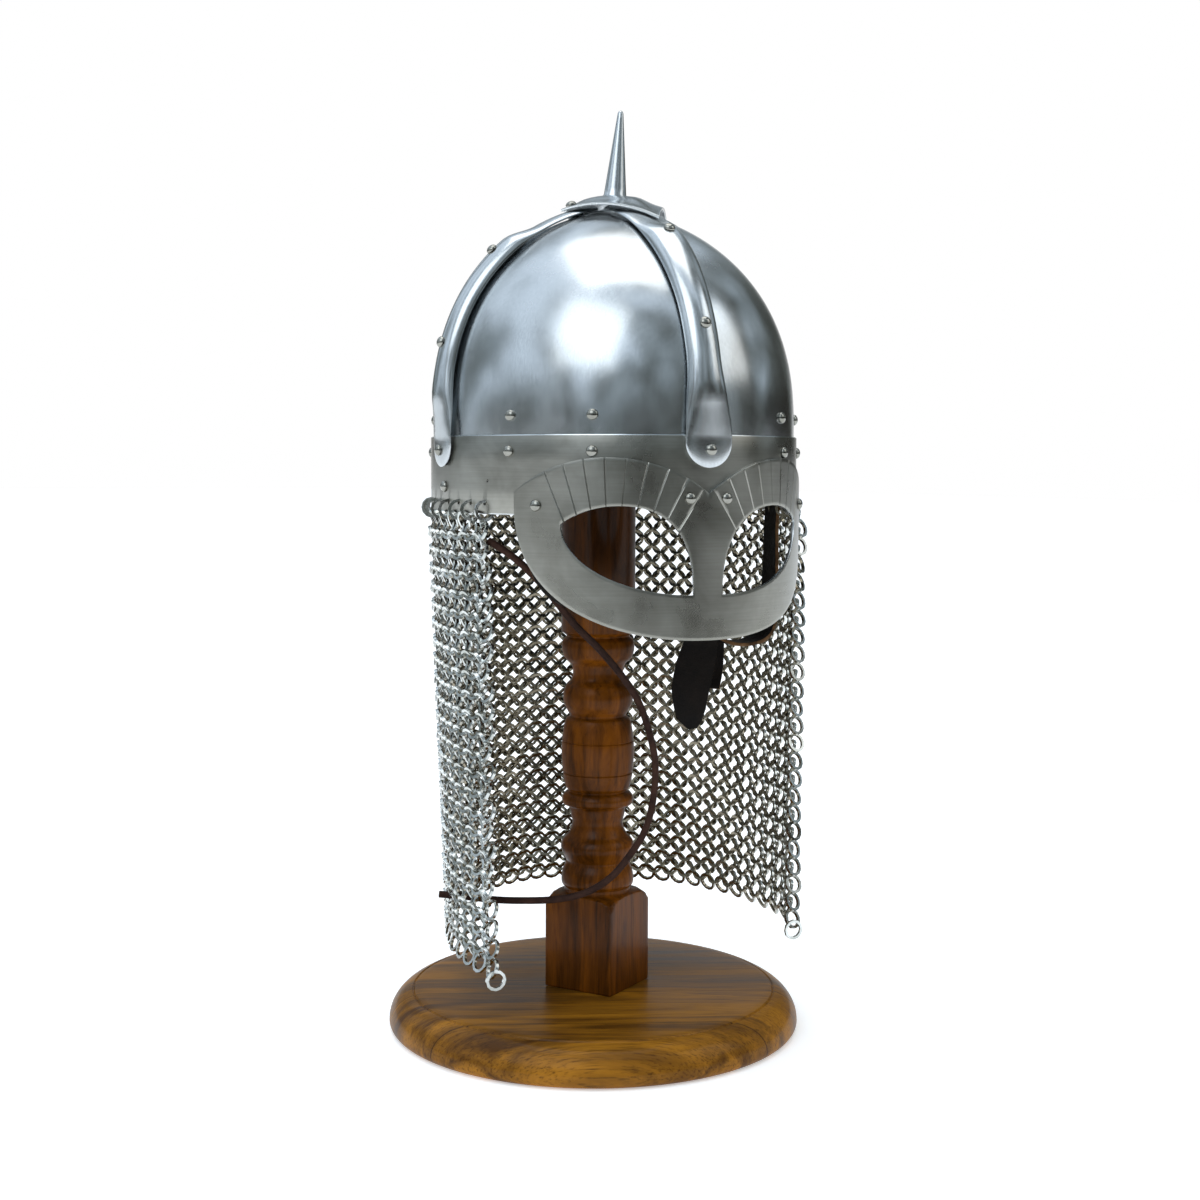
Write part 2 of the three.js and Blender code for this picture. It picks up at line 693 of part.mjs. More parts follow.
function rivetPlan() {
  const plan = [];
  const outward = BOWL_WALL + RIVET_TAIL;
  for (const mirror of [-1, 1]) {
    const hand = mirror < 0 ? "right" : "left";
    const angles = [...ROW_ANGLES, ...ROW_ANGLES.map((a) => 180 - a)];
    angles.forEach((angle, i) => {
      const rough = oval(mirror * angle, BOWL_OFFSET, UPPER_ROW_RISE);
      const seat = bowlSeat(rough);
      plan.push({
        name: `dome_rivet_${hand}_${i + 1}`,
        seat: { at: lift(seat, SEAT_GAP), normal: seat.normal },
        shank: SEAT_GAP + outward,
        through: ["bowl"],
      });
      plan.push({
        name: `band_rivet_${hand}_${i + 1}`,
        seat: seatOnOval(mirror * angle, -LOWER_ROW_DROP, SEAT_GAP),
        shank: 2 * SEAT_GAP + BAND_WALL + outward,
        through: ["bowl", "brow_band"],
      });
    });
    for (const row of VISOR_RIVETS) {
      plan.push({
        name: `visor_rivet_${row.side}_${hand}`,
        seat: seatOnOval(mirror * row.angle, -row.drop, bandOffset + VISOR_WALL + SEAT_GAP),
        shank: 2 * SEAT_GAP + VISOR_WALL + BAND_WALL + RIVET_TAIL * 0.6,
        through: ["visor", "brow_band"],
      });
    }
  }
  for (const row of SIDE_RIVETS) {
    plan.push({
      name: `side_rivet_${row.side}`,
      seat: seatOnOval(row.angle, -row.drop, SEAT_GAP),
      shank: SEAT_GAP + BAND_WALL + 0.4,
      through: ["brow_band"],
    });
  }
  for (const side of Object.keys(SIDES)) {
    RIB_RIVET_DOWNS[side].forEach((down, i) => {
      const seat = ribSeat(side, down, 0);
      plan.push({
        name: `rib_rivet_${side}_${i + 1}`,
        seat: { at: lift(seat, seat.under + RIB_WALL + SEAT_GAP), normal: seat.normal },
        shank: seat.under + RIB_WALL + SEAT_GAP + outward,
        through: down > 1 ? [`rib_${side}`, "brow_band", "bowl"] : [`rib_${side}`, "bowl"],
      });
    });
  }
  for (const row of PLATE_RIVETS) {
    const seat = plateSeat(radians(row.turn), row.share);
    const over = seat.under + PLATE_WALL + SEAT_GAP;
    plan.push({
      name: `plate_rivet_${row.side}`,
      seat: { at: lift(seat, over), normal: seat.normal },
      shank: over + BOWL_WALL * 0.6,
      through: row.through,
    });
  }
  return plan;
}

function pinCutter(seat, radius, length) {
  const geometry = new THREE.CylinderGeometry(radius, radius, length, HOLE_SIDES);
  const turn = new THREE.Quaternion().setFromUnitVectors(V(0, 1, 0), seat.normal);
  geometry.applyQuaternion(turn);
  const middle = lift(seat, -length / 2 + 2);
  geometry.translate(middle.x, middle.y, middle.z);
  return toSolid(geometry);
}

// The mail's hang at a share of the way from the first row of the table to the last.
function drapeAt(share, key) {
  const angle = mix(MAIL_DRAPE[0].angle, MAIL_DRAPE[MAIL_DRAPE.length - 1].angle, share);
  const next = Math.max(MAIL_DRAPE.findIndex((row) => row.angle >= angle - 1e-6), 1);
  const [before, after] = [MAIL_DRAPE[next - 1], MAIL_DRAPE[next]];
  return mix(before[key], after[key], (angle - before.angle) / (after.angle - before.angle));
}

function mailPoint(share, depth, offset) {
  const angle = -drapeAt(share, "angle");
  const height = -mix(MAIL_TOP_DROP, drapeAt(share, "drop"), depth);
  const out = mix(drapeAt(share, "top"), drapeAt(share, "foot"), depth);
  return oval(angle, 0, height).addScaledVector(ovalNormal(angle), offset + out);
}

function mailGeometry() {
  const layer = (offset) =>
    Array.from({ length: MAIL_DOWN_STEPS + 1 }, (_, i) =>
      Array.from({ length: MAIL_ROUND_STEPS + 1 }, (_, j) =>
        mailPoint(1 - j / MAIL_ROUND_STEPS, i / MAIL_DOWN_STEPS, offset)));
  return wall(layer(MAIL_OUTER_OFFSET), layer(MAIL_INNER_OFFSET), false);
}

// A leather ribbon through the rows of a table, its width lying along each row's bearing.
function ribbonGeometry(rows, steps, halfWidth) {
  const path = new THREE.CatmullRomCurve3(rows.map((row) => V(row.x, row.y, row.z)));
  const value = (t, key) => {
    const at = Math.min(Math.max(t, 0), 1) * (rows.length - 1);
    const i = Math.min(Math.floor(at), rows.length - 2);
    return mix(rows[i][key], rows[i + 1][key], at - i);
  };
  const outer = [];
  const inner = [];
  for (let i = 0; i <= steps; i += 1) {
    const t = i / steps;
    const centre = path.getPoint(t);
    const bearing = radians(value(t, "bearing"));
    const along = path.getTangent(t);
    const width = V(Math.cos(bearing), Math.sin(bearing), 0);
    width.addScaledVector(along, -width.dot(along)).normalize();
    const face = new THREE.Vector3().crossVectors(along, width).normalize();
    const half = halfWidth ?? value(t, "half");
    const edge = (side, up) => centre.clone()
      .addScaledVector(width, side * half)
      .addScaledVector(face, (up * LEATHER_WALL) / 2);
    outer.push([edge(-1, 1), edge(1, 1)]);
    inner.push([edge(-1, -1), edge(1, -1)]);
  }
  return wall(outer, inner, false);
}

function thongGeometry() {
  const path = new THREE.CatmullRomCurve3(THONG_ROUTE.map(([x, y, z]) => V(x, y, z)));
  const section = new THREE.Shape();
  section.absarc(0, 0, THONG_DIAMETER / 2, 0, 2 * Math.PI, false);
  return new THREE.ExtrudeGeometry(section, {
    curveSegments: THONG_SIDES / 2,
    steps: THONG_STEPS,
    extrudePath: path,
  });
}

function thongHole() {
  const last = THONG_ROUTE[THONG_ROUTE.length - 1];
  const before = THONG_ROUTE[THONG_ROUTE.length - 2];
  const at = V(...last).sub(helmet.position);
  const normal = V(...last).sub(V(...before)).normalize();
  return pinCutter({ at: at.addScaledVector(normal, 4), normal }, THONG_HOLE_RADIUS, 18);
}

// Stand
function discGeometry() {
  const rim = DISC_RADIUS - DISC_ROUND_WIDTH;
  const profile = [[0, 0], [DISC_RADIUS - DISC_FOOT_ROUND, 0]];
  for (const turn of [30, 60, 90]) {
    const reach = DISC_FOOT_ROUND * Math.sin(radians(turn));
    const rise = (DISC_THICKNESS - DISC_ROUND_DROP) * (1 - Math.cos(radians(turn)));
    profile.push([DISC_RADIUS - DISC_FOOT_ROUND + reach, rise]);
  }
  const arch = (r) => {
    const share = Math.max(r - rim, 0) / DISC_ROUND_WIDTH;
    return DISC_THICKNESS - DISC_ROUND_DROP * (1 - Math.sqrt(1 - share ** 2));
  };
  for (const share of [0.97, 0.88, 0.74, 0.56, 0.4]) {
    const r = rim + DISC_ROUND_WIDTH * share;
    profile.push([r, arch(r)]);
  }
  profile.push([GROOVE_RADIUS + GROOVE_WIDTH / 2, arch(GROOVE_RADIUS + GROOVE_WIDTH / 2)]);
  profile.push([GROOVE_RADIUS, arch(GROOVE_RADIUS) - GROOVE_DEPTH]);
  profile.push([GROOVE_RADIUS - GROOVE_WIDTH / 2, arch(GROOVE_RADIUS - GROOVE_WIDTH / 2)]);
  profile.push([rim, DISC_THICKNESS], [0, DISC_THICKNESS]);
  return new THREE.LatheGeometry(profile.map(([r, z]) => new THREE.Vector2(r, z)), 48);
}

function postGeometry() {
  const inside = domeHeight(POST_AT.x - HELMET_AT.x, POST_AT.y - HELMET_AT.y, BOWL_WALL);
  const top = BROW_LEVEL + inside - 5 * SEAT_GAP;
  const profile = [[0, POST_TURNING[0].height]];
  for (const row of POST_TURNING) profile.push([POST_RADIUS * row.share, row.height]);
  const capRadius = POST_RADIUS * 1.9;
  const dome = (r) => capRadius - Math.sqrt(capRadius ** 2 - r ** 2);
  const head = top - DISC_THICKNESS;
  profile.push([POST_RADIUS, head - dome(POST_RADIUS) - 2]);
  for (const share of [0.93, 0.75, 0.4]) {
    profile.push([POST_RADIUS * share, head - dome(POST_RADIUS * share)]);
  }
  profile.push([0, head]);
  const points = profile.map(([r, z]) => new THREE.Vector2(r, z));
  const turned = new THREE.LatheGeometry(points, 20);
  turned.rotateX(Math.PI / 2);
  const block = new THREE.BoxGeometry(BLOCK_SIDE, BLOCK_SIDE, BLOCK_HEIGHT - SEAT_GAP);
  block.rotateZ(radians(45 + BLOCK_TURN));
  block.translate(0, 0, (BLOCK_HEIGHT + SEAT_GAP) / 2);
  const corner = (BLOCK_SIDE / 2) * Math.SQRT2;
  const trim = [
    [0, -1],
    [corner + 1, -1],
    [corner + 1, BLOCK_HEIGHT - BLOCK_SHOULDER],
    [corner - 2, BLOCK_HEIGHT - BLOCK_SHOULDER * 0.45],
    [corner - 6, BLOCK_HEIGHT - BLOCK_SHOULDER * 0.1],
    [POST_RADIUS * 0.9, BLOCK_HEIGHT],
    [0, BLOCK_HEIGHT],
  ].map(([r, z]) => new THREE.Vector2(r, z));
  const trimmer = new THREE.LatheGeometry(trim, 24);
  trimmer.rotateX(Math.PI / 2);
  return toGeometry(toSolid(block).intersect(toSolid(trimmer)).add(toSolid(turned)));
}

// Assembly
const plates = {
  bowl: toSolid(bowlGeometry()),
  brow_band: toSolid(bandGeometry()),
  visor: toSolid(visorBlank()),
  finial_plate: toSolid(plateGeometry()),
};
for (const mirror of [-1, 1]) {
  const eye = toSolid(eyeCutter(mirror));
  for (const name of ["visor", "brow_band"]) plates[name] = plates[name].subtract(eye);
}
for (const side of Object.keys(SIDES)) plates[`rib_${side}`] = toSolid(ribGeometry(side));

for (const rivet of rivetPlan()) {
  for (const name of rivet.through) {
    const cutter = pinCutter(rivet.seat, HOLE_RADIUS, rivet.shank + 6);
    plates[name] = plates[name].subtract(cutter);
  }
  const mesh = add(helmet, rivet.name, rivetGeometry(rivet.shank), RIVET_STEEL);
  mesh.position.copy(rivet.seat.at);
  mesh.quaternion.setFromUnitVectors(V(0, 1, 0), rivet.seat.normal);
}

const tangSeat = { at: finialTop, normal: spikeAxis() };
const tangDrill = SPIKE_TANG_RADIUS * 1.3;
for (const name of ["finial_plate", "bowl"]) {
  plates[name] = plates[name].subtract(pinCutter(tangSeat, tangDrill, 24));
}
spikeMesh();

for (const [name, solid] of Object.entries(plates)) {
  const look = name === "brow_band" || name === "visor" ? BAND_STEEL : STEEL;
  add(helmet, name, toGeometry(solid), look);
}

const curtain = toSolid(mailGeometry()).subtract(thongHole());
add(helmet, "mail_curtain", toGeometry(curtain), MAIL_STEEL);
add(helmet, "chin_strap", ribbonGeometry(STRAP_ROUTE, 28, STRAP_WIDTH / 2), STRAP_LEATHER);
add(helmet, "chin_tab", ribbonGeometry(TAB_ROUTE, 20), STRAP_LEATHER);
add(part, "thong", thongGeometry(), THONG_LEATHER);

const disc = add(stand, "stand_disc", discGeometry(), DISC_WOOD);
disc.rotation.x = Math.PI / 2;
const post = add(stand, "stand_post", postGeometry(), POST_WOOD);
post.position.set(POST_AT.x, POST_AT.y, DISC_THICKNESS);

export default part;
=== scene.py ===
"""Spectacle helmet with a mail curtain on a turned wooden stand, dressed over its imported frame."""
import math

import bmesh
import bpy
import numpy as np
from bpy.props import FloatProperty, FloatVectorProperty, IntProperty, PointerProperty
from mathutils import Matrix, Vector


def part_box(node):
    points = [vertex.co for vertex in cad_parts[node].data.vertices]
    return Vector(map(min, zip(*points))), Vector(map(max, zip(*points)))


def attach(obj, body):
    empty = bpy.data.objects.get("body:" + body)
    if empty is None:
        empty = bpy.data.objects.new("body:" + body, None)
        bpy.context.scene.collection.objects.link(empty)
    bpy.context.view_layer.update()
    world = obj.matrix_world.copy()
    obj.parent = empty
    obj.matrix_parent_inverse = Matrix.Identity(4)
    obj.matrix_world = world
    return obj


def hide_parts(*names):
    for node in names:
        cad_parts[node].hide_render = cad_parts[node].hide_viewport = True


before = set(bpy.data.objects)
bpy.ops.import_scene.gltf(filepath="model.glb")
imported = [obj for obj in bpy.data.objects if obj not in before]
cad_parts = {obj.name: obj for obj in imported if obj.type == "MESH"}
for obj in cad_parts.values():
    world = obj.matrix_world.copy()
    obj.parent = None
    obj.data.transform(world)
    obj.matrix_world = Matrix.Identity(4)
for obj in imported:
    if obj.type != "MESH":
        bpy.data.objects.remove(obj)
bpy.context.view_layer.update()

bl_info = {
    "name": "Spectacle helmet on a stand",
    "version": (1, 0, 0),
    "blender": (4, 5, 0),
    "location": "3D View > Sidebar > Helmet",
    "description": "Builds a riveted spectacle helmet with a mail curtain and its wooden stand",
    "category": "Object",
}


# Lengths are millimetres from here on; the meshes are scaled to metres as they are made.
MM = 0.001


def box_mm(node):
    low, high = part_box(node)
    return np.array(low) / MM, np.array(high) / MM


BAND_LOW, BAND_HIGH = box_mm("brow_band")
BOWL_LOW, BOWL_HIGH = box_mm("bowl")
DISC_HIGH = box_mm("stand_disc")[1]
POST_HIGH = box_mm("stand_post")[1]

# The helmet's axis at the brow band's top edge
HELMET_AT = np.array([*((BAND_LOW + BAND_HIGH) / 2)[:2], BAND_HIGH[2]])
HALF_WIDTH, HALF_LENGTH = ((BAND_HIGH - BAND_LOW) / 2)[:2]
BAND_HEIGHT = BAND_HIGH[2] - BAND_LOW[2]
DOME_RISE = BOWL_HIGH[2] - BAND_HIGH[2]
BOWL_TUCK = BAND_HIGH[2] - BOWL_LOW[2]
BAND_WALL = 1.2
BOWL_WALL = 1.5
SEAT_GAP = 0.3
BOWL_OFFSET = -BAND_WALL - SEAT_GAP
DOME_ROUND_POWER = 1.7
DOME_RISE_POWER = 2.52

RIB_WALL = 1.5
RIB_GAP = 0.45
RIB_CROWN = 7.0
RIB_TOP_CROWN = 2.6
RIB_END_CROWN = 1.5
RIB_FRONT_DRIFT = -1.5
RIB_HALF_WIDTH = 9.3
RIB_TOP_HALF_WIDTH = 11.0
RIB_END_HALF_WIDTH = 13.2
RIB_TAIL = 17.2
RIB_TOP_START = 15.0
SIDES = {"front": (0, -1), "left": (1, 0), "back": (0, 1), "right": (-1, 0)}

FINIAL_AT = (1.2, 0.0)
PLATE_WALL = 1.5
PLATE_HALF_LENGTH = 54.0
PLATE_HALF_WIDTH = 31.0
PLATE_PEAK = 0.6
PLATE_FLATNESS = 1.9
PLATE_LIFT = RIB_TOP_CROWN + RIB_WALL + 3 * RIB_GAP
SPIKE_HEIGHT = 50.0
SPIKE_BASE_RADIUS = 7.0
SPIKE_TIP_RADIUS = 1.5
SPIKE_TANG_RADIUS = 3.0
SPIKE_TANG_DEPTH = 1.6
SPIKE_LEAN = 3.7
SPIKE_LEAN_BEARING = -25.0

ROW_ANGLES = (34, 59.5, 120.5, 146)
UPPER_ROW_RISE = 10.0
LOWER_ROW_DROP = 8.8
RIB_RIVET_DOWNS = {
    "front": (0.45, 0.78, 1.46),
    "left": (0.505, 0.808, 1.46),
    "back": (0.45, 0.78, 1.46),
    "right": (0.505, 0.808, 1.46),
}
PLATE_RIVETS = {"left": (90, 0.43), "right": (-90, 0.8)}
VISOR_RIVETS = {"outer": (50, 37.2), "inner": (5.9, 33)}
SIDE_RIVETS = {"left": (80, 28), "right": (-90, 28)}

VISOR_WALL = 1.5
VISOR_HALF_SPAN = 106.3
VISOR_NOTCH_DROP = 30.5
VISOR_LOBE_DROP = 12.0
VISOR_CORNER_DROP = 36.0
VISOR_CHIN_DROP = 107.0
VISOR_POWER = 2.2
EYE_INNER = 8.3
EYE_OUTER = 78.4
EYE_PEAK = 47.5
EYE_PEAK_DROP = 37.0
EYE_TIP_DROP = 46.7
EYE_FLOOR_DROP = 83.3
EYE_INNER_POWER = 2.4
EYE_FLOOR_POWER = 1.95
# The engraved lines fan out from a point under each eye
FAN_CENTRE = (52.0, -102.0)
FAN_ANGLES = [-33.9 + 7.15 * i for i in range(9)]

HOLE_COUNT = 37
HOLE_START = 68.6
HOLE_PITCH = 6.19
HOLE_DROP = 36.4
HOLE_RADIUS = 1.3
# A smaller hole in the band beside the mail's right front edge: angle, drop and radius
SPARE_HOLE = (-67.5, 24.5, 0.9)
MAIL_TOP_DROP = 43.0
MAIL_MIDDLE = -0.2
# Angle from the front round the wearer's right and the back; how far the top and the foot
# stand out from the band; how low the foot is
MAIL_DRAPE = (
    (66.5, 0.0, -4.8, 298.0),
    (105.0, 0.0, -9.0, 292.0),
    (125.0, 0.0, -11.0, 287.0),
    (180.0, 0.0, -8.4, 284.0),
    (235.0, 0.0, -8.4, 284.0),
    (260.0, 1.5, -5.0, 285.0),
    (293.5, 5.5, 4.0, 289.0),
)

# The row of rings in the band: how far each is drawn up into its hole and stands off the band,
# and its slant in radians
HANGER_TUCK = 1.0
HANGER_STAND = 0.6
HANGER_SLANT = 0.35
FIRST_ROW_DROP = 5.0
# Rings at the free front edges swing round by an angle in radians, with its spread
RIGHT_EDGE_SWING = (-0.28, 0.08)
LEFT_EDGE_SWING = (-0.85, 0.12)
# A ring that swings past this angle also hangs aside by this length
FAR_SWING = -0.3
FAR_SWING_SHIFT = -2.6
# A lone ring hangs at the foot of each free edge
LONE_RING_ANGLE = 1.5
LONE_RING_DROP = 5.5
LONE_RING_SWING = math.radians(70)
# How unevenly the rings lie, as an angle in radians and a length
RING_WOBBLE = 0.03
RING_SCATTER = 0.08
# The wire is drawn four-sided, a little proud so that it covers as much as round wire
WIRE_SIDES = 4
WIRE_PROUD = 1.15
RING_STEPS = 12

# Middle line of the chin strap from the helmet's axis, with the bearing of its width
STRAP_ROUTE = (
    (-75.5, -73.0, -24.0, -53.8),
    (-75.2, -72.7, -48.0, -53.8),
    (-71.5, -70.0, -70.0, -54.0),
    (-60.0, -69.0, -86.0, -58.0),
    (-42.0, -61.5, -94.0, -64.0),
    (-15.0, -48.0, -101.0, -68.0),
    (8.0, -29.5, -107.0, -72.0),
    (27.1, -24.3, -111.4, -97.0),
    (45.4, -33.5, -112.0, -115.0),
    (60.0, -39.3, -118.0, -102.0),
    (79.0, -35.5, -115.0, -86.0),
    (91.5, -25.0, -98.0, -90.0),
    (95.3, -20.3, -75.0, -96.0),
    (96.1, -19.6, -50.0, -98.7),
    (97.6, -19.9, -21.0, -98.7),
)
# The same for the chin tab, with its half width
TAB_ROUTE = (
    (54.1, -25.3, -146.0, 4.0),
    (55.9, -23.3, -134.0, 5.5),
    (55.0, -23.3, -118.0, 7.0),
    (54.7, -23.7, -111.6, 7.6),
    (52.7, -25.9, -109.0, 8.0),
    (45.4, -33.5, -109.3, 8.4),
    (38.1, -41.2, -109.0, 8.8),
    (36.1, -43.3, -111.6, 9.0),
    (35.8, -43.7, -118.0, 9.6),
    (32.6, -43.7, -130.0, 11.0),
    (29.6, -43.9, -143.0, 10.8),
    (29.6, -43.8, -155.0, 8.8),
    (31.1, -43.3, -162.0, 5.5),
    (32.1, -42.8, -165.5, 2.0),
)
TAB_BEARING = -25.0
LEATHER_CROWN = 0.35

# The lace's route in metres, in the part's own frame
LACE_ROUTE = (
    (-0.0824, -0.0416, 0.2866),
    (-0.0753, -0.0478, 0.2812),
    (-0.0642, -0.0507, 0.2719),
    (-0.0509, -0.0525, 0.2576),
    (-0.0361, -0.0528, 0.2403),
    (-0.0211, -0.0531, 0.2259),
    (-0.0064, -0.0544, 0.2087),
    (0.0025, -0.0553, 0.1944),
    (0.009, -0.055, 0.1771),
    (0.0126, -0.0547, 0.1598),
    (0.0121, -0.0531, 0.1397),
    (0.0081, -0.0513, 0.1226),
    (0.0, -0.0486, 0.1085),
    (-0.011, -0.0457, 0.0958),
    (-0.0246, -0.0416, 0.0877),
    (-0.0402, -0.0354, 0.0842),
    (-0.0554, -0.0196, 0.0815),
    (-0.0668, -0.0076, 0.0805),
    (-0.0758, 0.0026, 0.0804),
    (-0.084, 0.0086, 0.081),
    (-0.0925, 0.011, 0.082),
)

# Turned profile of the post: height above the disc and share of its radius
POST_TURNING = (
    (52, 0.9), (58.5, 0.9), (60.5, 0.975), (64, 0.985), (68.5, 0.95), (73.4, 0.86), (76, 0.9),
    (81.8, 1.0), (86, 0.95), (90, 0.79), (95.8, 0.69), (101, 0.73), (106.2, 0.79), (107.5, 0.93),
    (111, 0.975), (114, 0.9), (115.5, 0.8), (118, 0.88), (125.5, 0.95), (137.7, 0.99),
    (148, 0.965), (157, 0.88), (159.6, 0.765), (162.5, 0.83), (167, 0.93), (172, 0.945),
    (177, 0.87), (181, 0.72), (185.6, 0.685), (190, 0.74), (194, 0.92), (199.6, 0.985),
    (204, 0.95), (206.5, 0.86), (209, 1.0),
)
# Lines scored round the barrel, heights above the disc
POST_SCORES = (126.1, 144.8)
POST_SCORE_DEPTH = 0.55
POST_AT = (2.4, 0.0)
POST_RADIUS = 21.5
BLOCK_SIDE = 44.2
BLOCK_HEIGHT = 56.0
BLOCK_TURN = -10.8
BLOCK_SHOULDER = 8.0
DISC_ROUND_WIDTH = 19.0
DISC_ROUND_DROP = 17.8
DISC_FOOT_ROUND = 4.0
GROOVE_RADIUS = 105.8
GROOVE_DEPTH = 0.8
GROOVE_WIDTH = 1.8

CAMERA_AT = (-0.42315, -0.91668, 0.32618)
CAMERA_TURN = (85.64, 0.0, -24.957)
CAMERA_ROLL = 0.205
CAMERA_LENS = 52.146
# Picks which part of the room's pattern the helmet mirrors
ROOM_SHIFT = (3.1, 0.4, 1.7)

# Sizes of the patterns in the finishes
BUFFING_SIZES = (45.45, 45.45, 45.45)
HAMMERED_WAVE_SIZES = (90.9, 90.9, 129.9)
PEBBLE_DEPTH = 0.2
FIBRE_DEPTH = 0.1
BOARD_WIDTH = 57.14
BOARD_SHIFT = 0.34
BOARD_TURN = 22.0
DISC_PORE_DEPTH = 0.06
POST_PORE_DEPTH = 0.05
# Heights on the post over which painted shade darkens its head inside the helmet
SHADED_HEAD_HEIGHTS = (235.0, 275.0)


# Shape of the shell, in millimetres from the helmet's axis at the band's top edge

def oval(angle, offset, z):
    turn = np.radians(angle)
    x = (HALF_WIDTH + offset) * np.sin(turn)
    y = -(HALF_LENGTH + offset) * np.cos(turn)
    return np.stack([x, y, z + 0 * x], -1)


def oval_normal(angle):
    turn = np.radians(angle)
    out = np.stack([np.sin(turn) / HALF_WIDTH, -np.cos(turn) / HALF_LENGTH, 0 * turn], -1)
    return out / np.linalg.norm(out, axis=-1, keepdims=True)


def smooth_step(value, low, high):
    share = np.clip((value - low) / (high - low), 0, 1)
    return share * share * (3 - 2 * share)


def mix(a, b, share):
    return a + (b - a) * share


def bowl_seat(rough):
    """The point of the bowl's outside under a rough point, and its outward normal."""
    a = HALF_WIDTH + BOWL_OFFSET
    b = HALF_LENGTH + BOWL_OFFSET
    x, y, z = rough
    around = math.hypot(x / a, y / b)
    if z <= 0:
        at = np.array([x / around, y / around, z])
        normal = np.array([at[0] / a ** 2, at[1] / b ** 2, 0])
        return at, normal / np.linalg.norm(normal)
    inside, outside = 0.5, 2.0
    for _ in range(34):
        size = (inside + outside) / 2
        swell = (around / size) ** DOME_ROUND_POWER + (z / DOME_RISE / size) ** DOME_RISE_POWER
        if swell > 1:
            inside = size
        else:
            outside = size
    at = np.array(rough, float) / outside
    around = max(math.hypot(at[0] / a, at[1] / b), 1e-6)
    pull = DOME_ROUND_POWER * around ** (DOME_ROUND_POWER - 2)
    push = DOME_RISE_POWER * (at[2] / DOME_RISE) ** (DOME_RISE_POWER - 1) / DOME_RISE
    normal = np.array([pull * at[0] / a ** 2, pull * at[1] / b ** 2, push])
    return at, normal / np.linalg.norm(normal)


def dome_height(x, y):
    around = math.hypot(x / (HALF_WIDTH + BOWL_OFFSET), y / (HALF_LENGTH + BOWL_OFFSET))
    return DOME_RISE * (1 - around ** DOME_ROUND_POWER) ** (1 / DOME_RISE_POWER)


def rib_half_width(z):
    if z < 0:
        drop = min(max(RIB_END_HALF_WIDTH - RIB_TAIL - z, 0), RIB_END_HALF_WIDTH)
        return math.sqrt(max(RIB_END_HALF_WIDTH ** 2 - drop ** 2, 0.8))
    waist = DOME_RISE * 0.32
    if z < waist:
        return mix(RIB_END_HALF_WIDTH, RIB_HALF_WIDTH, smooth_step(z, 0, waist))
    widening = smooth_step(z, DOME_RISE * 0.5, DOME_RISE * 0.9)
    return mix(RIB_HALF_WIDTH, RIB_TOP_HALF_WIDTH, widening)


def rib_seat(side, down, across):
    """A point of a rib on the bowl, its normal, and how far the rib's underside stands off."""
    way = SIDES[side]
    reach = (HALF_WIDTH if way[0] else HALF_LENGTH) + BOWL_OFFSET
    lean = math.radians(90 * min(down, 1))
    around = math.sin(lean) ** (2 / DOME_ROUND_POWER)
    rise = max(math.cos(lean), 0) ** (2 / DOME_RISE_POWER)
    z = DOME_RISE * rise if down <= 1 else -(down - 1) * RIB_TAIL
    drift = RIB_FRONT_DRIFT * smooth_step(z, 0, DOME_RISE * 0.3) if side == "front" else 0
    half = rib_half_width(z) * across
    rough = (
        way[0] * reach * around - way[1] * half + drift,
        way[1] * reach * around + way[0] * half,
        z,
    )
    at, normal = bowl_seat(rough)
    step = RIB_GAP + (BAND_WALL + SEAT_GAP) * (1 - smooth_step(z, 1, 16))
    lower = mix(RIB_END_CROWN, RIB_CROWN, smooth_step(z, -RIB_TAIL * 0.22, DOME_RISE * 0.2))
    crown = mix(lower, RIB_TOP_CROWN, smooth_step(z, DOME_RISE * 0.8, DOME_RISE * 0.89))
    if z < 0:
        crown *= rib_half_width(z) / RIB_END_HALF_WIDTH
    under = step + crown * math.sqrt(max(1 - across ** 2, 0))
    return at, normal, under


def rib_start(side):
    way = SIDES[side]
    reach = (HALF_WIDTH if way[0] else HALF_LENGTH) + BOWL_OFFSET
    share = (RIB_TOP_START + way[0] * FINIAL_AT[0] + way[1] * FINIAL_AT[1]) / reach
    return math.asin(share ** (DOME_ROUND_POWER / 2)) / math.radians(90)


def plate_seat(turn, share):
    across = abs(math.sin(turn)) / PLATE_HALF_WIDTH
    along = abs(math.cos(turn)) / PLATE_HALF_LENGTH
    reach = share / (across + along)
    x = FINIAL_AT[0] + reach * math.sin(turn)
    y = FINIAL_AT[1] - reach * math.cos(turn)
    at, normal = bowl_seat((x, y, dome_height(x, y)))
    # The middle is nearly flat, so it stands further off where the bowl falls away
    flat = PLATE_FLATNESS * math.sin(math.pi * min(share / 0.86, 1)) ** 2
    return at, normal, PLATE_LIFT + PLATE_PEAK * (1 - share) ** 2 + flat


# Visor outline, along the band from the nose, heights below the band's top edge

ARC_ANGLES = np.arange(0, 181.0, 0.5)
ARC_LENGTHS = np.concatenate([[0], np.cumsum(np.linalg.norm(
    np.diff(oval(ARC_ANGLES, SEAT_GAP, 0.0), axis=0), axis=1))])


def on_visor(s, z, offset):
    angle = math.copysign(float(np.interp(abs(s), ARC_LENGTHS, ARC_ANGLES)), s)
    return oval(angle, 0, z) + oval_normal(np.array(angle)) * (SEAT_GAP + offset)


def visor_top(s):
    chord = VISOR_HALF_SPAN / 2
    sag = VISOR_NOTCH_DROP - VISOR_LOBE_DROP
    radius = (chord ** 2 + sag ** 2) / (2 * sag)
    return -VISOR_LOBE_DROP - radius + math.sqrt(radius ** 2 - (s - chord) ** 2)


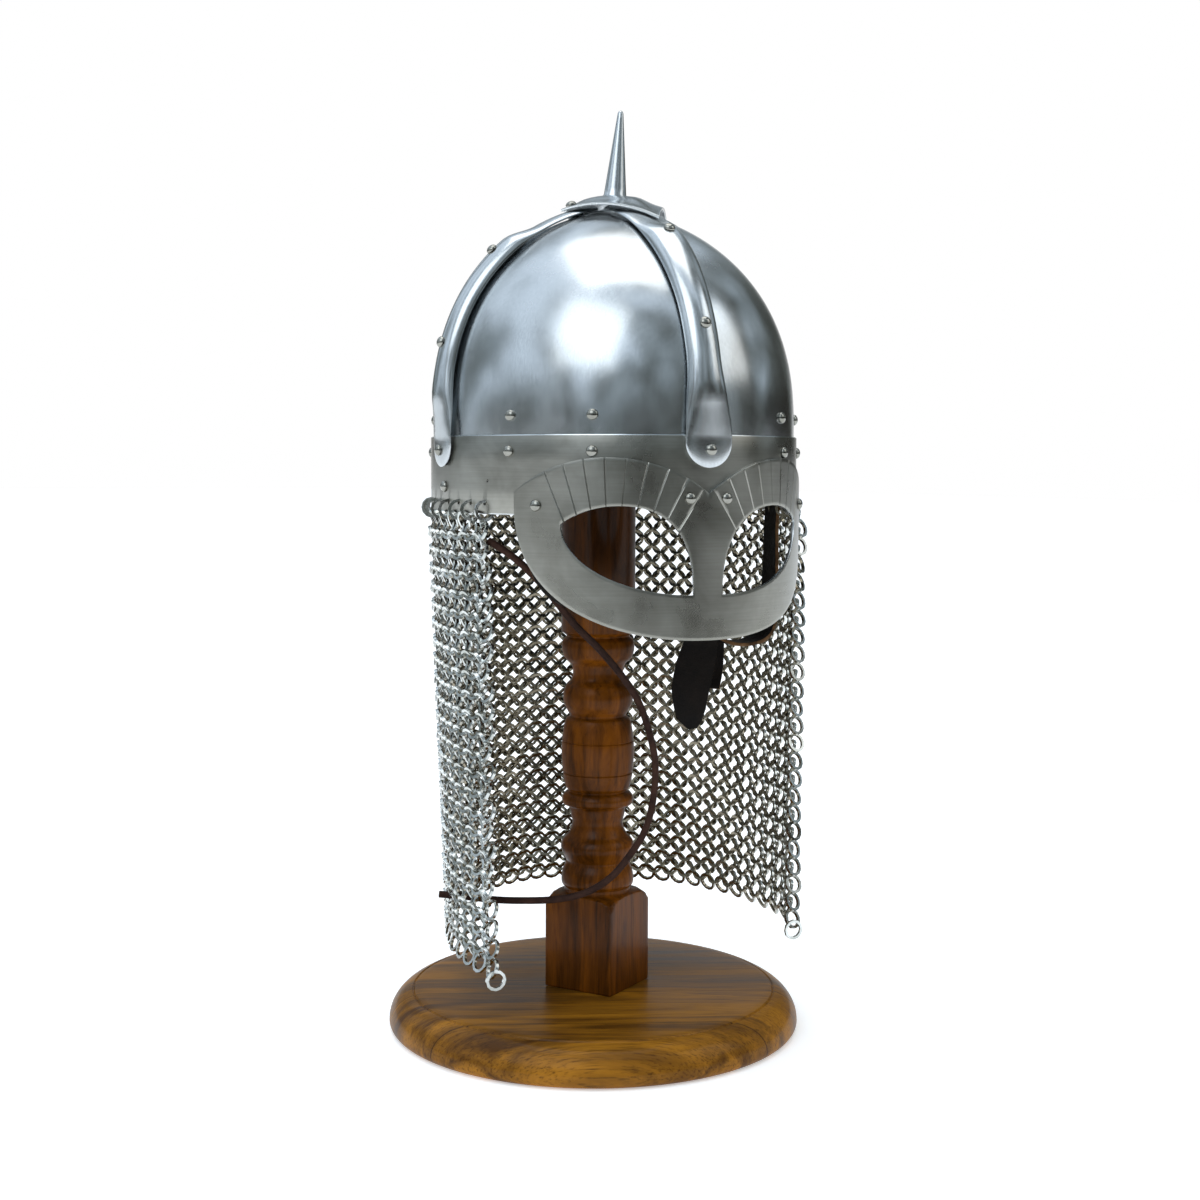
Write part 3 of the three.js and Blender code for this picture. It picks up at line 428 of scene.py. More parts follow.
def visor_bottom(s):
    share = min(s / VISOR_HALF_SPAN, 1)
    fall = (1 - share ** VISOR_POWER) ** (1 / VISOR_POWER)
    return -VISOR_CORNER_DROP - (VISOR_CHIN_DROP - VISOR_CORNER_DROP) * fall


def eye_top(s):
    if s <= EYE_PEAK:
        share = min(max((EYE_PEAK - s) / (EYE_PEAK - EYE_INNER), 0), 1)
        rise = (1 - share ** EYE_INNER_POWER) ** (1 / EYE_INNER_POWER)
        return -EYE_FLOOR_DROP + (EYE_FLOOR_DROP - EYE_PEAK_DROP) * rise
    arc = EYE_OUTER - EYE_PEAK
    sag = EYE_TIP_DROP - EYE_PEAK_DROP
    radius = (arc ** 2 + sag ** 2) / (2 * sag)
    return -EYE_PEAK_DROP - radius + math.sqrt(radius ** 2 - (s - EYE_PEAK) ** 2)


def eye_floor(s):
    share = min(max((s - EYE_INNER) / (EYE_OUTER - EYE_INNER), 0), 1)
    fall = (1 - share ** EYE_FLOOR_POWER) ** (1 / EYE_FLOOR_POWER)
    return -EYE_TIP_DROP - (EYE_FLOOR_DROP - EYE_TIP_DROP) * fall


def fan_crossing(angle, edge):
    """Where an engraved line of the fan meets an edge curve, as a length along the visor."""
    turn = math.radians(angle)
    low, high = 20.0, 120.0
    for _ in range(50):
        reach = (low + high) / 2
        s = max(FAN_CENTRE[0] + reach * math.sin(turn), 0)
        if FAN_CENTRE[1] + reach * math.cos(turn) < edge(min(s, VISOR_HALF_SPAN)):
            low = reach
        else:
            high = reach
    return FAN_CENTRE[0] + low * math.sin(turn)


def drape(angle, column):
    rows = np.array(MAIL_DRAPE)
    return float(np.interp(angle, rows[:, 0], rows[:, column]))


def mail_point(angle, drop):
    """A point of the mail's middle surface and its outward normal."""
    depth = (drop - MAIL_TOP_DROP) / (drape(angle, 3) - MAIL_TOP_DROP)
    out = mix(drape(angle, 1), drape(angle, 2), max(depth, 0)) + MAIL_MIDDLE
    normal = oval_normal(np.array(-angle))
    return oval(-angle, 0, -drop) + normal * out, normal


# Mesh making

def link(name, mesh):
    piece = bpy.data.objects.new(name, mesh)
    bpy.context.scene.collection.objects.link(piece)
    return piece


def mesh_piece(name, points, faces, at=HELMET_AT):
    mesh = bpy.data.meshes.new(name)
    mesh.from_pydata(((np.array(points) + at) * MM).tolist(), [], faces)
    body = bmesh.new()
    body.from_mesh(mesh)
    bmesh.ops.remove_doubles(body, verts=body.verts, dist=2e-6)
    bmesh.ops.dissolve_degenerate(body, edges=body.edges, dist=1e-7)
    body.to_mesh(mesh)
    body.free()
    return link(name, mesh)


def grid_faces(rows, columns, closed=False, start=0):
    faces = []
    last = columns if closed else columns - 1
    for i in range(rows - 1):
        for j in range(last):
            k = (j + 1) % columns
            a = start + i * columns
            faces.append((a + j, a + columns + j, a + columns + k, a + k))
    return faces


def sheet_piece(name, grid, closed=False):
    """One layer of quads through a grid of points, facing away from the inside of the helmet."""
    grid = np.array(grid)
    faces = grid_faces(grid.shape[0], grid.shape[1], closed)
    piece = mesh_piece(name, grid.reshape(-1, 3), faces)
    face_outward(piece)
    return piece


def face_outward(piece):
    middle = Vector((HELMET_AT + np.array([0, 0, -10])) * MM)
    side = 0.0
    for face in piece.data.polygons:
        side += face.normal.dot(face.center - middle) * face.area
    if side < 0:
        piece.data.flip_normals()


def thicken(piece, wall, offset=-1.0, edge_width=0.25):
    """Gives a sheet its wall and softens the cut edges; the rim takes the second material."""
    skin = piece.modifiers.new("wall", "SOLIDIFY")
    skin.thickness = wall * MM
    skin.offset = offset
    skin.use_even_offset = True
    skin.material_offset_rim = 1
    if edge_width:
        soften(piece, edge_width)


def soften(piece, width, angle=60):
    edge = piece.modifiers.new("soft_edges", "BEVEL")
    edge.width = width * MM
    edge.segments = 2
    edge.limit_method = "ANGLE"
    edge.angle_limit = math.radians(angle)
    edge.use_clamp_overlap = True
    edge.material = len(piece.data.materials) - 1


def settle(piece, sharp=38):
    """Turns a piece and its modifiers into a plain mesh, smooth but for its real edges."""
    bpy.context.view_layer.update()
    graph = bpy.context.evaluated_depsgraph_get()
    mesh = bpy.data.meshes.new_from_object(piece.evaluated_get(graph))
    mesh.name = piece.name
    old = piece.data
    piece.modifiers.clear()
    piece.data = mesh
    if isinstance(old, bpy.types.Mesh) and old.users == 0:
        bpy.data.meshes.remove(old)
    mesh.shade_smooth()
    mesh.set_sharp_from_angle(angle=math.radians(sharp))
    return piece


def lathe_piece(name, profile, steps, at):
    """A closed solid turned round the vertical axis; the profile runs from pole to pole."""
    points = []
    for r, z in profile:
        for j in range(steps):
            turn = 2 * math.pi * j / steps
            points.append((r * math.cos(turn), r * math.sin(turn), z))
    piece = mesh_piece(name, points, grid_faces(len(profile), steps, closed=True), at)
    return close_solid(piece)


def close_solid(piece):
    body = bmesh.new()
    body.from_mesh(piece.data)
    bmesh.ops.recalc_face_normals(body, faces=body.faces)
    body.to_mesh(piece.data)
    body.free()
    return piece


def through(points, count):
    """Points along a smooth curve through the given ones."""
    points = np.array(points, float)
    padded = np.vstack([2 * points[0] - points[1], points, 2 * points[-1] - points[-2]])
    out = []
    for t in np.linspace(0, len(points) - 1, count):
        i = min(int(t), len(points) - 2)
        f = t - i
        a, b, c, d = padded[i:i + 4]
        out.append(0.5 * (2 * b + (c - a) * f + (2 * a - 5 * b + 4 * c - d) * f ** 2
                          + (3 * b - a - 3 * c + d) * f ** 3))
    return np.array(out)


def turn_towards(normal, spin=0.0):
    """Rotation that stands a pattern's own Z along a normal, turned about it by spin."""
    quaternion = Vector(normal).to_track_quat("Z", "Y")
    return quaternion.to_matrix() @ Matrix.Rotation(spin, 3, "Z")


def pattern_group():
    """Node group that sets one pattern on every point, turned by the point's own angles."""
    group = bpy.data.node_groups.get("pattern_on_points")
    if group:
        return group
    group = bpy.data.node_groups.new("pattern_on_points", "GeometryNodeTree")
    sockets = group.interface
    sockets.new_socket("Points", in_out="INPUT", socket_type="NodeSocketGeometry")
    sockets.new_socket("Pattern", in_out="INPUT", socket_type="NodeSocketObject")
    sockets.new_socket("Finish", in_out="INPUT", socket_type="NodeSocketMaterial")
    size = sockets.new_socket("Size", in_out="INPUT", socket_type="NodeSocketFloat")
    size.default_value = 1.0
    sockets.new_socket("Pieces", in_out="OUTPUT", socket_type="NodeSocketGeometry")
    source = add_node(group, "NodeGroupInput")
    pattern = add_node(group, "GeometryNodeObjectInfo", {"Object": source.outputs["Pattern"]})
    turn = add_node(group, "GeometryNodeInputNamedAttribute", {"Name": "turn"},
                    data_type="FLOAT_VECTOR")
    spin = add_node(group, "FunctionNodeEulerToRotation", {0: turn.outputs["Attribute"]})
    copies = add_node(group, "GeometryNodeInstanceOnPoints", {
        "Points": source.outputs["Points"],
        "Instance": pattern.outputs["Geometry"],
        "Rotation": spin.outputs[0],
        "Scale": source.outputs["Size"],
    })
    real = add_node(group, "GeometryNodeRealizeInstances", {"Geometry": copies.outputs[0]})
    painted = add_node(group, "GeometryNodeSetMaterial", {
        "Geometry": real.outputs[0],
        "Material": source.outputs["Finish"],
    })
    add_node(group, "NodeGroupOutput", {"Pieces": painted.outputs[0]})
    return group


def repeat_pattern(name, pattern, places, finish, sharp=50):
    """Sets a pattern at each place, a point in millimetres with a rotation, as one mesh."""
    mesh = bpy.data.meshes.new(name)
    mesh.from_pydata([((np.array(at) + HELMET_AT) * MM).tolist() for at, _ in places], [], [])
    turns = mesh.attributes.new("turn", "FLOAT_VECTOR", "POINT")
    turns.data.foreach_set("vector", [v for _, turn in places for v in turn.to_euler()])
    piece = link(name, mesh)
    layout = piece.modifiers.new("layout", "NODES")
    group = pattern_group()
    layout.node_group = group
    names = {s.name: s.identifier for s in group.interface.items_tree if s.in_out == "INPUT"}
    layout[names["Pattern"]] = pattern
    layout[names["Finish"]] = finish
    layout[names["Size"]] = 1.0
    settle(piece, sharp)
    piece.data.materials.clear()
    piece.data.materials.append(finish)
    bpy.data.objects.remove(pattern)
    return piece


# Material making

def linear(text):
    """Linear colour from an sRGB hex string."""
    channels = [int(text[i:i + 2], 16) / 255 for i in (1, 3, 5)]
    return [c / 12.92 if c <= 0.04045 else ((c + 0.055) / 1.055) ** 2.4 for c in channels]


# Sockets of a Mix node that mixes colours
MIX_SHARE, MIX_FROM, MIX_TO, MIX_RESULT = 0, 6, 7, 2


def add_node(tree, kind, inputs=None, stops=(), **settings):
    """Adds a node with its settings, its sockets' values or links, and a ramp's colour stops."""
    made = tree.nodes.new(kind)
    for key, value in settings.items():
        setattr(made, key, value)
    for key, value in (inputs or {}).items():
        if isinstance(value, bpy.types.NodeSocket):
            tree.links.new(value, made.inputs[key])
        else:
            made.inputs[key].default_value = value
    if stops:
        elements = made.color_ramp.elements
        while len(elements) < len(stops):
            elements.new(0.5)
        for element, (position, colour) in zip(elements, stops):
            element.position = position
            element.color = (*colour, 1)
    return made


def new_material(name, **sockets):
    material = bpy.data.materials.new(name)
    material.use_nodes = True
    tree = material.node_tree
    tree.nodes.clear()
    shader = add_node(tree, "ShaderNodeBsdfPrincipled", sockets)
    add_node(tree, "ShaderNodeOutputMaterial", {"Surface": shader.outputs[0]})
    return material, tree, shader


def pattern_place(tree, sizes, turn=0.0):
    """Object coordinates turned about the vertical and counted in a pattern's sizes in mm."""
    place = add_node(tree, "ShaderNodeTexCoord")
    turned = add_node(tree, "ShaderNodeMapping", {
        "Vector": place.outputs["Object"],
        "Rotation": (0, 0, turn),
    })
    counted = add_node(tree, "ShaderNodeMapping", {
        "Vector": turned.outputs[0],
        "Scale": [1 / (size * MM) for size in sizes],
    })
    return counted.outputs[0]


def colour_of(choice):
    return tuple(choice)[:3]


def darker(colour, share):
    return (*[c * share for c in colour], 1)


def mix_colour(a, b, share):
    return tuple(mix(x, y, share) for x, y in zip(a, b))


def steel(name, colour, shade, rough, line_sizes, wave_height):
    """Worked steel: it mirrors the room in soft patches, bent a little by its uneven face.

    Real polishing lines are under 0.1 mm wide. They are drawn about ten times as coarse, so that
    they show, and only as a faint darkening.
    """
    material, tree, shader = new_material(name, Metallic=1.0)
    lines = add_node(tree, "ShaderNodeTexNoise", {
        "Vector": pattern_place(tree, line_sizes),
        "Scale": 1.0,
        "Detail": 3.0,
        "Roughness": 0.6,
    })
    clouds = add_node(tree, "ShaderNodeTexNoise", {
        "Vector": pattern_place(tree, BUFFING_SIZES),
        "Scale": 1.0,
        "Detail": 4.0,
        "Roughness": 0.6,
        "Distortion": 0.4,
    })
    waves = add_node(tree, "ShaderNodeTexNoise", {
        "Vector": pattern_place(tree, HAMMERED_WAVE_SIZES),
        "Scale": 1.0,
        "Detail": 1.0,
        "Roughness": 0.4,
    })
    tint = add_node(tree, "ShaderNodeValToRGB", {"Fac": clouds.outputs["Fac"]},
                    stops=[(0.3, shade), (0.62, colour)])
    soil = add_node(tree, "ShaderNodeMapRange", {
        "Value": lines.outputs["Fac"],
        "From Min": 0.35,
        "From Max": 0.65,
        "To Min": 0.0,
        "To Max": 0.14,
    })
    soiled = add_node(tree, "ShaderNodeMix", {
        MIX_SHARE: soil.outputs["Result"],
        MIX_FROM: tint.outputs["Color"],
        MIX_TO: darker(shade, 0.45),
    }, data_type="RGBA")
    gloss = add_node(tree, "ShaderNodeMapRange", {
        "Value": clouds.outputs["Fac"],
        "From Min": 0.3,
        "From Max": 0.7,
        "To Min": rough[0],
        "To Max": rough[1],
    })
    uneven = add_node(tree, "ShaderNodeBump", {
        "Height": waves.outputs["Fac"],
        "Distance": wave_height * MM,
        "Strength": 1.0,
    })
    tree.links.new(soiled.outputs[MIX_RESULT], shader.inputs["Base Color"])
    tree.links.new(gloss.outputs["Result"], shader.inputs["Roughness"])
    tree.links.new(uneven.outputs["Normal"], shader.inputs["Normal"])
    return material


def leather(name, colour, worn, pebble, rough):
    """Dyed leather: a dull, pebbled face with paler rubbed patches and hardly any shine.

    The pebble is the grain's width in millimetres. Real grain is 0.3 mm or so, and it is drawn
    up to three times as coarse, so that it shows.
    """
    material, tree, shader = new_material(name)
    shader.inputs["Specular IOR Level"].default_value = 0.1
    pebbles = add_node(tree, "ShaderNodeTexVoronoi", {
        "Vector": pattern_place(tree, [pebble] * 3),
        "Scale": 1.0,
    })
    patches = add_node(tree, "ShaderNodeTexNoise", {
        "Vector": pattern_place(tree, [pebble / 0.06] * 3),
        "Scale": 1.0,
        "Detail": 4.0,
        "Roughness": 0.65,
    })
    fibres = add_node(tree, "ShaderNodeTexNoise", {
        "Vector": pattern_place(tree, [pebble / 2.2] * 3),
        "Scale": 1.0,
        "Detail": 2.0,
        "Roughness": 0.6,
    })
    tint = add_node(tree, "ShaderNodeValToRGB", {"Fac": patches.outputs["Fac"]},
                    stops=[(0.35, colour), (0.75, worn)])
    gloss = add_node(tree, "ShaderNodeMapRange", {
        "Value": patches.outputs["Fac"],
        "From Min": 0.3,
        "From Max": 0.7,
        "To Min": rough[0],
        "To Max": rough[1],
    })
    grain = add_node(tree, "ShaderNodeBump", {
        "Height": pebbles.outputs["Distance"],
        "Distance": PEBBLE_DEPTH * MM,
        "Strength": 1.0,
    })
    nap = add_node(tree, "ShaderNodeBump", {
        "Height": fibres.outputs["Fac"],
        "Distance": FIBRE_DEPTH * MM,
        "Strength": 1.0,
        "Normal": grain.outputs["Normal"],
    })
    tree.links.new(tint.outputs["Color"], shader.inputs["Base Color"])
    tree.links.new(gloss.outputs["Result"], shader.inputs["Roughness"])
    tree.links.new(nap.outputs["Normal"], shader.inputs["Normal"])
    return material


def disc_wood(finishes):
    """Hardwood boards glued side by side and lacquered: long warm grain with dark joint lines.

    Real pores are 0.1 mm wide, and they are drawn at 0.7 mm, so that they show.
    """
    material, tree, shader = new_material("lacquered_hardwood_boards")
    shader.inputs["Specular IOR Level"].default_value = 0.08
    shader.inputs["Coat Weight"].default_value = 0.12
    shader.inputs["Coat Roughness"].default_value = 0.12
    light = colour_of(finishes.disc_light)
    dark = colour_of(finishes.disc_dark)
    turn = math.radians(BOARD_TURN)
    figure = add_node(tree, "ShaderNodeTexNoise", {
        "Vector": pattern_place(tree, (200, 16.67, 33.3), turn),
        "Scale": 1.0,
        "Detail": 5.0,
        "Roughness": 0.6,
        "Distortion": 0.9,
    })
    pores = add_node(tree, "ShaderNodeTexNoise", {
        "Vector": pattern_place(tree, (22.2, 0.667, 1.43), turn),
        "Scale": 1.0,
        "Detail": 3.0,
        "Roughness": 0.6,
    })
    boards = add_node(tree, "ShaderNodeSeparateXYZ", {
        0: pattern_place(tree, (1000, BOARD_WIDTH, 1000), turn),
    })
    shifted = add_node(tree, "ShaderNodeMath", {0: boards.outputs[1], 1: BOARD_SHIFT},
                       operation="ADD")
    number = add_node(tree, "ShaderNodeMath", {0: shifted.outputs[0]}, operation="FLOOR")
    tone = add_node(tree, "ShaderNodeTexWhiteNoise", {"W": number.outputs[0]},
                    noise_dimensions="1D")
    part = add_node(tree, "ShaderNodeMath", {0: shifted.outputs[0]}, operation="FRACT")
    base = add_node(tree, "ShaderNodeValToRGB", {"Fac": figure.outputs["Fac"]}, stops=[
        (0.36, dark), (0.5, mix_colour(dark, light, 0.5)), (0.64, light)])
    board_tone = add_node(tree, "ShaderNodeMapRange", {
        "Value": tone.outputs["Value"],
        "From Min": 0.0,
        "From Max": 1.0,
        "To Min": 0.0,
        "To Max": 0.35,
    })
    toned = add_node(tree, "ShaderNodeMix", {
        MIX_SHARE: board_tone.outputs["Result"],
        MIX_FROM: base.outputs["Color"],
        MIX_TO: darker(dark, 0.5),
    }, data_type="RGBA")
    open_pores = add_node(tree, "ShaderNodeMapRange", {
        "Value": pores.outputs["Fac"],
        "From Min": 0.5,
        "From Max": 0.72,
        "To Min": 0.0,
        "To Max": 0.7,
    })
    pored = add_node(tree, "ShaderNodeMix", {
        MIX_SHARE: open_pores.outputs["Result"],
        MIX_FROM: toned.outputs[MIX_RESULT],
        MIX_TO: darker(dark, 0.3),
    }, data_type="RGBA")
    joint = add_node(tree, "ShaderNodeMapRange", {
        "Value": part.outputs[0],
        "From Min": 0.0,
        "From Max": 0.02,
        "To Min": 1.0,
        "To Max": 0.0,
    })
    jointed = add_node(tree, "ShaderNodeMix", {
        MIX_SHARE: joint.outputs["Result"],
        MIX_FROM: pored.outputs[MIX_RESULT],
        MIX_TO: darker(dark, 0.25),
    }, data_type="RGBA")
    gloss = add_node(tree, "ShaderNodeMapRange", {
        "Value": figure.outputs["Fac"],
        "From Min": 0.3,
        "From Max": 0.7,
        "To Min": 0.34,
        "To Max": 0.5,
    })
    sunk = add_node(tree, "ShaderNodeBump", {
        "Height": pores.outputs["Fac"],
        "Distance": DISC_PORE_DEPTH * MM,
        "Strength": 1.0,
    })
    tree.links.new(jointed.outputs[MIX_RESULT], shader.inputs["Base Color"])
    tree.links.new(gloss.outputs["Result"], shader.inputs["Roughness"])
    tree.links.new(sunk.outputs["Normal"], shader.inputs["Normal"])
    return material


def post_wood(finishes):
    """Hardwood turned on a lathe and lacquered: upright grain, dark streaks and a soft gloss.

    Real pores are 0.1 mm wide, and they are drawn at 0.8 mm, so that they show.
    """
    material, tree, shader = new_material("lacquered_turned_hardwood")
    shader.inputs["Specular IOR Level"].default_value = 0.08
    shader.inputs["Coat Weight"].default_value = 0.1
    shader.inputs["Coat Roughness"].default_value = 0.12
    light = colour_of(finishes.post_light)
    dark = colour_of(finishes.post_dark)
    figure = add_node(tree, "ShaderNodeTexNoise", {
        "Vector": pattern_place(tree, (14.29, 14.29, 111)),
        "Scale": 1.0,
        "Detail": 5.0,
        "Roughness": 0.6,
        "Distortion": 1.1,
    })
    streaks = add_node(tree, "ShaderNodeTexNoise", {
        "Vector": pattern_place(tree, (3.846, 3.846, 62.5)),
        "Scale": 1.0,
        "Detail": 4.0,
        "Roughness": 0.6,
        "Distortion": 0.4,
    })
    pores = add_node(tree, "ShaderNodeTexNoise", {
        "Vector": pattern_place(tree, (0.769, 0.769, 14.3)),
        "Scale": 1.0,
        "Detail": 2.0,
        "Roughness": 0.6,
    })
    base = add_node(tree, "ShaderNodeValToRGB", {"Fac": figure.outputs["Fac"]}, stops=[
        (0.3, dark), (0.52, mix_colour(dark, light, 0.55)), (0.72, light)])
    dark_streaks = add_node(tree, "ShaderNodeMapRange", {
        "Value": streaks.outputs["Fac"],
        "From Min": 0.5,
        "From Max": 0.72,
        "To Min": 0.0,
        "To Max": 0.6,
    })
    streaked = add_node(tree, "ShaderNodeMix", {
        MIX_SHARE: dark_streaks.outputs["Result"],
        MIX_FROM: base.outputs["Color"],
        MIX_TO: darker(dark, 0.45),
    }, data_type="RGBA")
    open_pores = add_node(tree, "ShaderNodeMapRange", {
        "Value": pores.outputs["Fac"],
        "From Min": 0.58,
        "From Max": 0.75,
        "To Min": 0.0,
        "To Max": 0.5,
    })
    pored = add_node(tree, "ShaderNodeMix", {
        MIX_SHARE: open_pores.outputs["Result"],
        MIX_FROM: streaked.outputs[MIX_RESULT],
        MIX_TO: darker(dark, 0.25),
    }, data_type="RGBA")
    # Painted shade: the head of the post inside the helmet is darkened towards its top
    place = add_node(tree, "ShaderNodeTexCoord")
    level = add_node(tree, "ShaderNodeSeparateXYZ", {0: place.outputs["Object"]})
    head_shade = add_node(tree, "ShaderNodeMapRange", {
        "Value": level.outputs[2],
        "From Min": SHADED_HEAD_HEIGHTS[0] * MM,
        "From Max": SHADED_HEAD_HEIGHTS[1] * MM,
        "To Min": 0.0,
        "To Max": 0.6,
    })
    head_shaded = add_node(tree, "ShaderNodeMix", {
        MIX_SHARE: head_shade.outputs["Result"],
        MIX_FROM: pored.outputs[MIX_RESULT],
        MIX_TO: darker(dark, 0.3),
    }, data_type="RGBA")
    gloss = add_node(tree, "ShaderNodeMapRange", {
        "Value": figure.outputs["Fac"],
        "From Min": 0.3,
        "From Max": 0.7,
        "To Min": 0.28,
        "To Max": 0.42,
    })
    sunk = add_node(tree, "ShaderNodeBump", {
        "Height": pores.outputs["Fac"],
        "Distance": POST_PORE_DEPTH * MM,
        "Strength": 1.0,
    })
    tree.links.new(head_shaded.outputs[MIX_RESULT], shader.inputs["Base Color"])
    tree.links.new(gloss.outputs["Result"], shader.inputs["Roughness"])
    tree.links.new(sunk.outputs["Normal"], shader.inputs["Normal"])
    return material


def cached(name, make):
    return bpy.data.materials.get(name) or make()


def bowl_steel(finishes):
    # Mild steel polished from crown to brow: a broad soft mirror of the room
    return cached("polished_mild_steel", lambda: steel(
        "polished_mild_steel", colour_of(finishes.steel), colour_of(finishes.steel_shade),
        (0.17, 0.28), (0.769, 0.769, 11.1), 1.3))


def band_steel(finishes):
    # The same steel brushed round the head: duller, with faint level lines
    return cached("brushed_mild_steel", lambda: steel(
        "brushed_mild_steel", colour_of(finishes.band), colour_of(finishes.band_shade),
        (0.24, 0.36), (40, 40, 1.11), 0.9))


def edge_steel(finishes):
    # Cut edges dressed with a file: a thin bright line round each plate
    return cached("filed_steel_edge", lambda: steel(
        "filed_steel_edge", colour_of(finishes.edge), colour_of(finishes.steel),
        (0.2, 0.34), (3.33, 3.33, 3.33), 0.1))


def rivet_steel(finishes):
    # Steel rivets domed with a set: one small sharp highlight on each
    return cached("domed_rivet_steel", lambda: steel(
        "domed_rivet_steel", colour_of(finishes.band), colour_of(finishes.band_shade),
        (0.14, 0.26), (3.33, 3.33, 3.33), 0.3))


def mail_wire(finishes):
    return cached("zinced_wire", lambda: shade_inside_wire(finishes))


def shade_inside_wire(finishes):
    """Zinced steel wire: bright and glinting outside, with painted shade in brown on the side of
    each wire that faces the head.
    """
    material, tree, shader = new_material("zinced_wire", Metallic=1.0)
    place = add_node(tree, "ShaderNodeTexCoord")
    out = add_node(tree, "ShaderNodeVectorMath", {
        0: place.outputs["Object"],
        1: tuple(HELMET_AT * (MM, MM, 0)),
    }, operation="SUBTRACT")
    level = add_node(tree, "ShaderNodeVectorMath", {0: out.outputs[0], 1: (1, 1, 0)},
                     operation="MULTIPLY")
    away = add_node(tree, "ShaderNodeVectorMath", {0: level.outputs[0]}, operation="NORMALIZE")
    face = add_node(tree, "ShaderNodeNewGeometry")
    side = add_node(tree, "ShaderNodeVectorMath", {
        0: away.outputs[0],
        1: face.outputs["Normal"],
    }, operation="DOT_PRODUCT")
    # Painted shade: wire that faces the helmet's axis takes the darker inside colour, and wire that
    # faces out takes the bright colour
    rubbed = add_node(tree, "ShaderNodeMapRange", {
        "Value": side.outputs["Value"],
        "From Min": -0.15,
        "From Max": 0.35,
        "To Min": 0.0,
        "To Max": 1.0,
    })
    patches = add_node(tree, "ShaderNodeTexNoise", {
        "Vector": pattern_place(tree, (11.1, 11.1, 11.1)),
        "Scale": 1.0,
        "Detail": 3.0,
        "Roughness": 0.6,
    })
    bright = add_node(tree, "ShaderNodeValToRGB", {"Fac": patches.outputs["Fac"]}, stops=[
        (0.35, colour_of(finishes.mail_shade)), (0.65, colour_of(finishes.mail))])
    mixed = add_node(tree, "ShaderNodeMix", {
        MIX_SHARE: rubbed.outputs["Result"],
        MIX_FROM: (*colour_of(finishes.mail_inner_shade), 1),
        MIX_TO: bright.outputs["Color"],
    }, data_type="RGBA")
    gloss = add_node(tree, "ShaderNodeMapRange", {
        "Value": patches.outputs["Fac"],
        "From Min": 0.3,
        "From Max": 0.7,
        "To Min": 0.14,
        "To Max": 0.27,
    })
    tree.links.new(mixed.outputs[MIX_RESULT], shader.inputs["Base Color"])
    tree.links.new(gloss.outputs["Result"], shader.inputs["Roughness"])
    return material


class HelmetSizes(bpy.types.PropertyGroup):
    """Sizes that a maker of the helmet would change, in millimetres."""

    rivet_width: FloatProperty(
        name="Rivet width", description="Width of a rivet's head, in millimetres", default=6.3)
    rivet_height: FloatProperty(
        name="Rivet height", description="Height of a rivet's head, in millimetres", default=2.5)
    ring_width: FloatProperty(
        name="Mail ring", description="Outside width of a mail ring, in millimetres",
        default=12.1)
    wire: FloatProperty(
        name="Mail wire", description="Thickness of the mail wire, in millimetres", default=1.95)
    mail_rows: IntProperty(
        name="Mail rows", description="Rows of rings under the row in the band", default=46)
    ring_tilt: FloatProperty(
        name="Ring tilt", description="Lean of each ring in its row", default=math.radians(21),
        subtype="ANGLE", unit="ROTATION")
    engraving: FloatProperty(
        name="Engraving", description="Depth of the lines on the brows, in millimetres",
        default=0.4)
    strap_width: FloatProperty(
        name="Strap width", description="Width of the chin strap, in millimetres", default=19.0)
    leather_wall: FloatProperty(
        name="Leather", description="Thickness of the leather, in millimetres", default=2.0)
    lace: FloatProperty(
        name="Lace", description="Thickness of the leather lace, in metres", default=0.004,
        subtype="DISTANCE", unit="LENGTH")


def colour_choice(name, description, text):
    return FloatVectorProperty(
        name=name, description=description, subtype="COLOR", size=3, min=0, max=1,
        default=linear(text))


class HelmetFinishes(bpy.types.PropertyGroup):
    """Colours of the helmet's steel, mail, leather and wood."""

    steel: colour_choice("Iron", "Polished iron of the bowl and ribs", "#c9ced1")
    steel_shade: colour_choice("Iron shade", "Duller patches of the polished iron", "#b4b9bb")
    band: colour_choice("Band", "Brushed iron of the band and visor", "#a3a29b")
    band_shade: colour_choice("Band shade", "Duller patches of the brushed iron", "#87867e")
    edge: colour_choice("Cut edge", "Filed edges and rivet heads", "#dfe3e4")
    mail: colour_choice("Mail", "Zinced wire of the rings", "#e4e7e6")
    mail_shade: colour_choice("Mail shade", "Dull wire of the rings", "#b4b7b2")
    # The colour of painted shade on the side of the wire that faces the head
    mail_inner_shade: colour_choice("Mail inside", "Painted shade on the wire facing the head", "#958d7c")
    strap: colour_choice("Strap", "Black dyed leather", "#0b0908")
    strap_worn: colour_choice("Strap worn", "Rubbed black leather", "#1c1612")
    strap_edge: colour_choice("Strap edge", "Raw cut edge of the strap", "#7a5a3c")
    lace: colour_choice("Lace", "Dark brown lace", "#2a1b17")
    lace_worn: colour_choice("Lace worn", "Rubbed lace", "#4a332a")
    disc_light: colour_choice("Disc light", "Light grain of the disc", "#a9701d")
    disc_dark: colour_choice("Disc dark", "Dark grain of the disc", "#50300b")
    post_light: colour_choice("Post light", "Light grain of the post", "#84490a")
    post_dark: colour_choice("Post dark", "Dark grain of the post", "#2f1602")


class HelmetOperator:
    """What every building step shares."""

    bl_options = {"REGISTER", "UNDO"}

    @property
    def sizes(self):
        return bpy.context.scene.helmet_sizes

    @property
    def finishes(self):
        return bpy.context.scene.helmet_finishes

    def hand_over(self, piece, slot, *nodes):
        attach(piece, "root")
        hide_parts(*nodes)


def set_finishes(piece, *materials):
    piece.data.materials.clear()
    for material in materials:
        piece.data.materials.append(material)


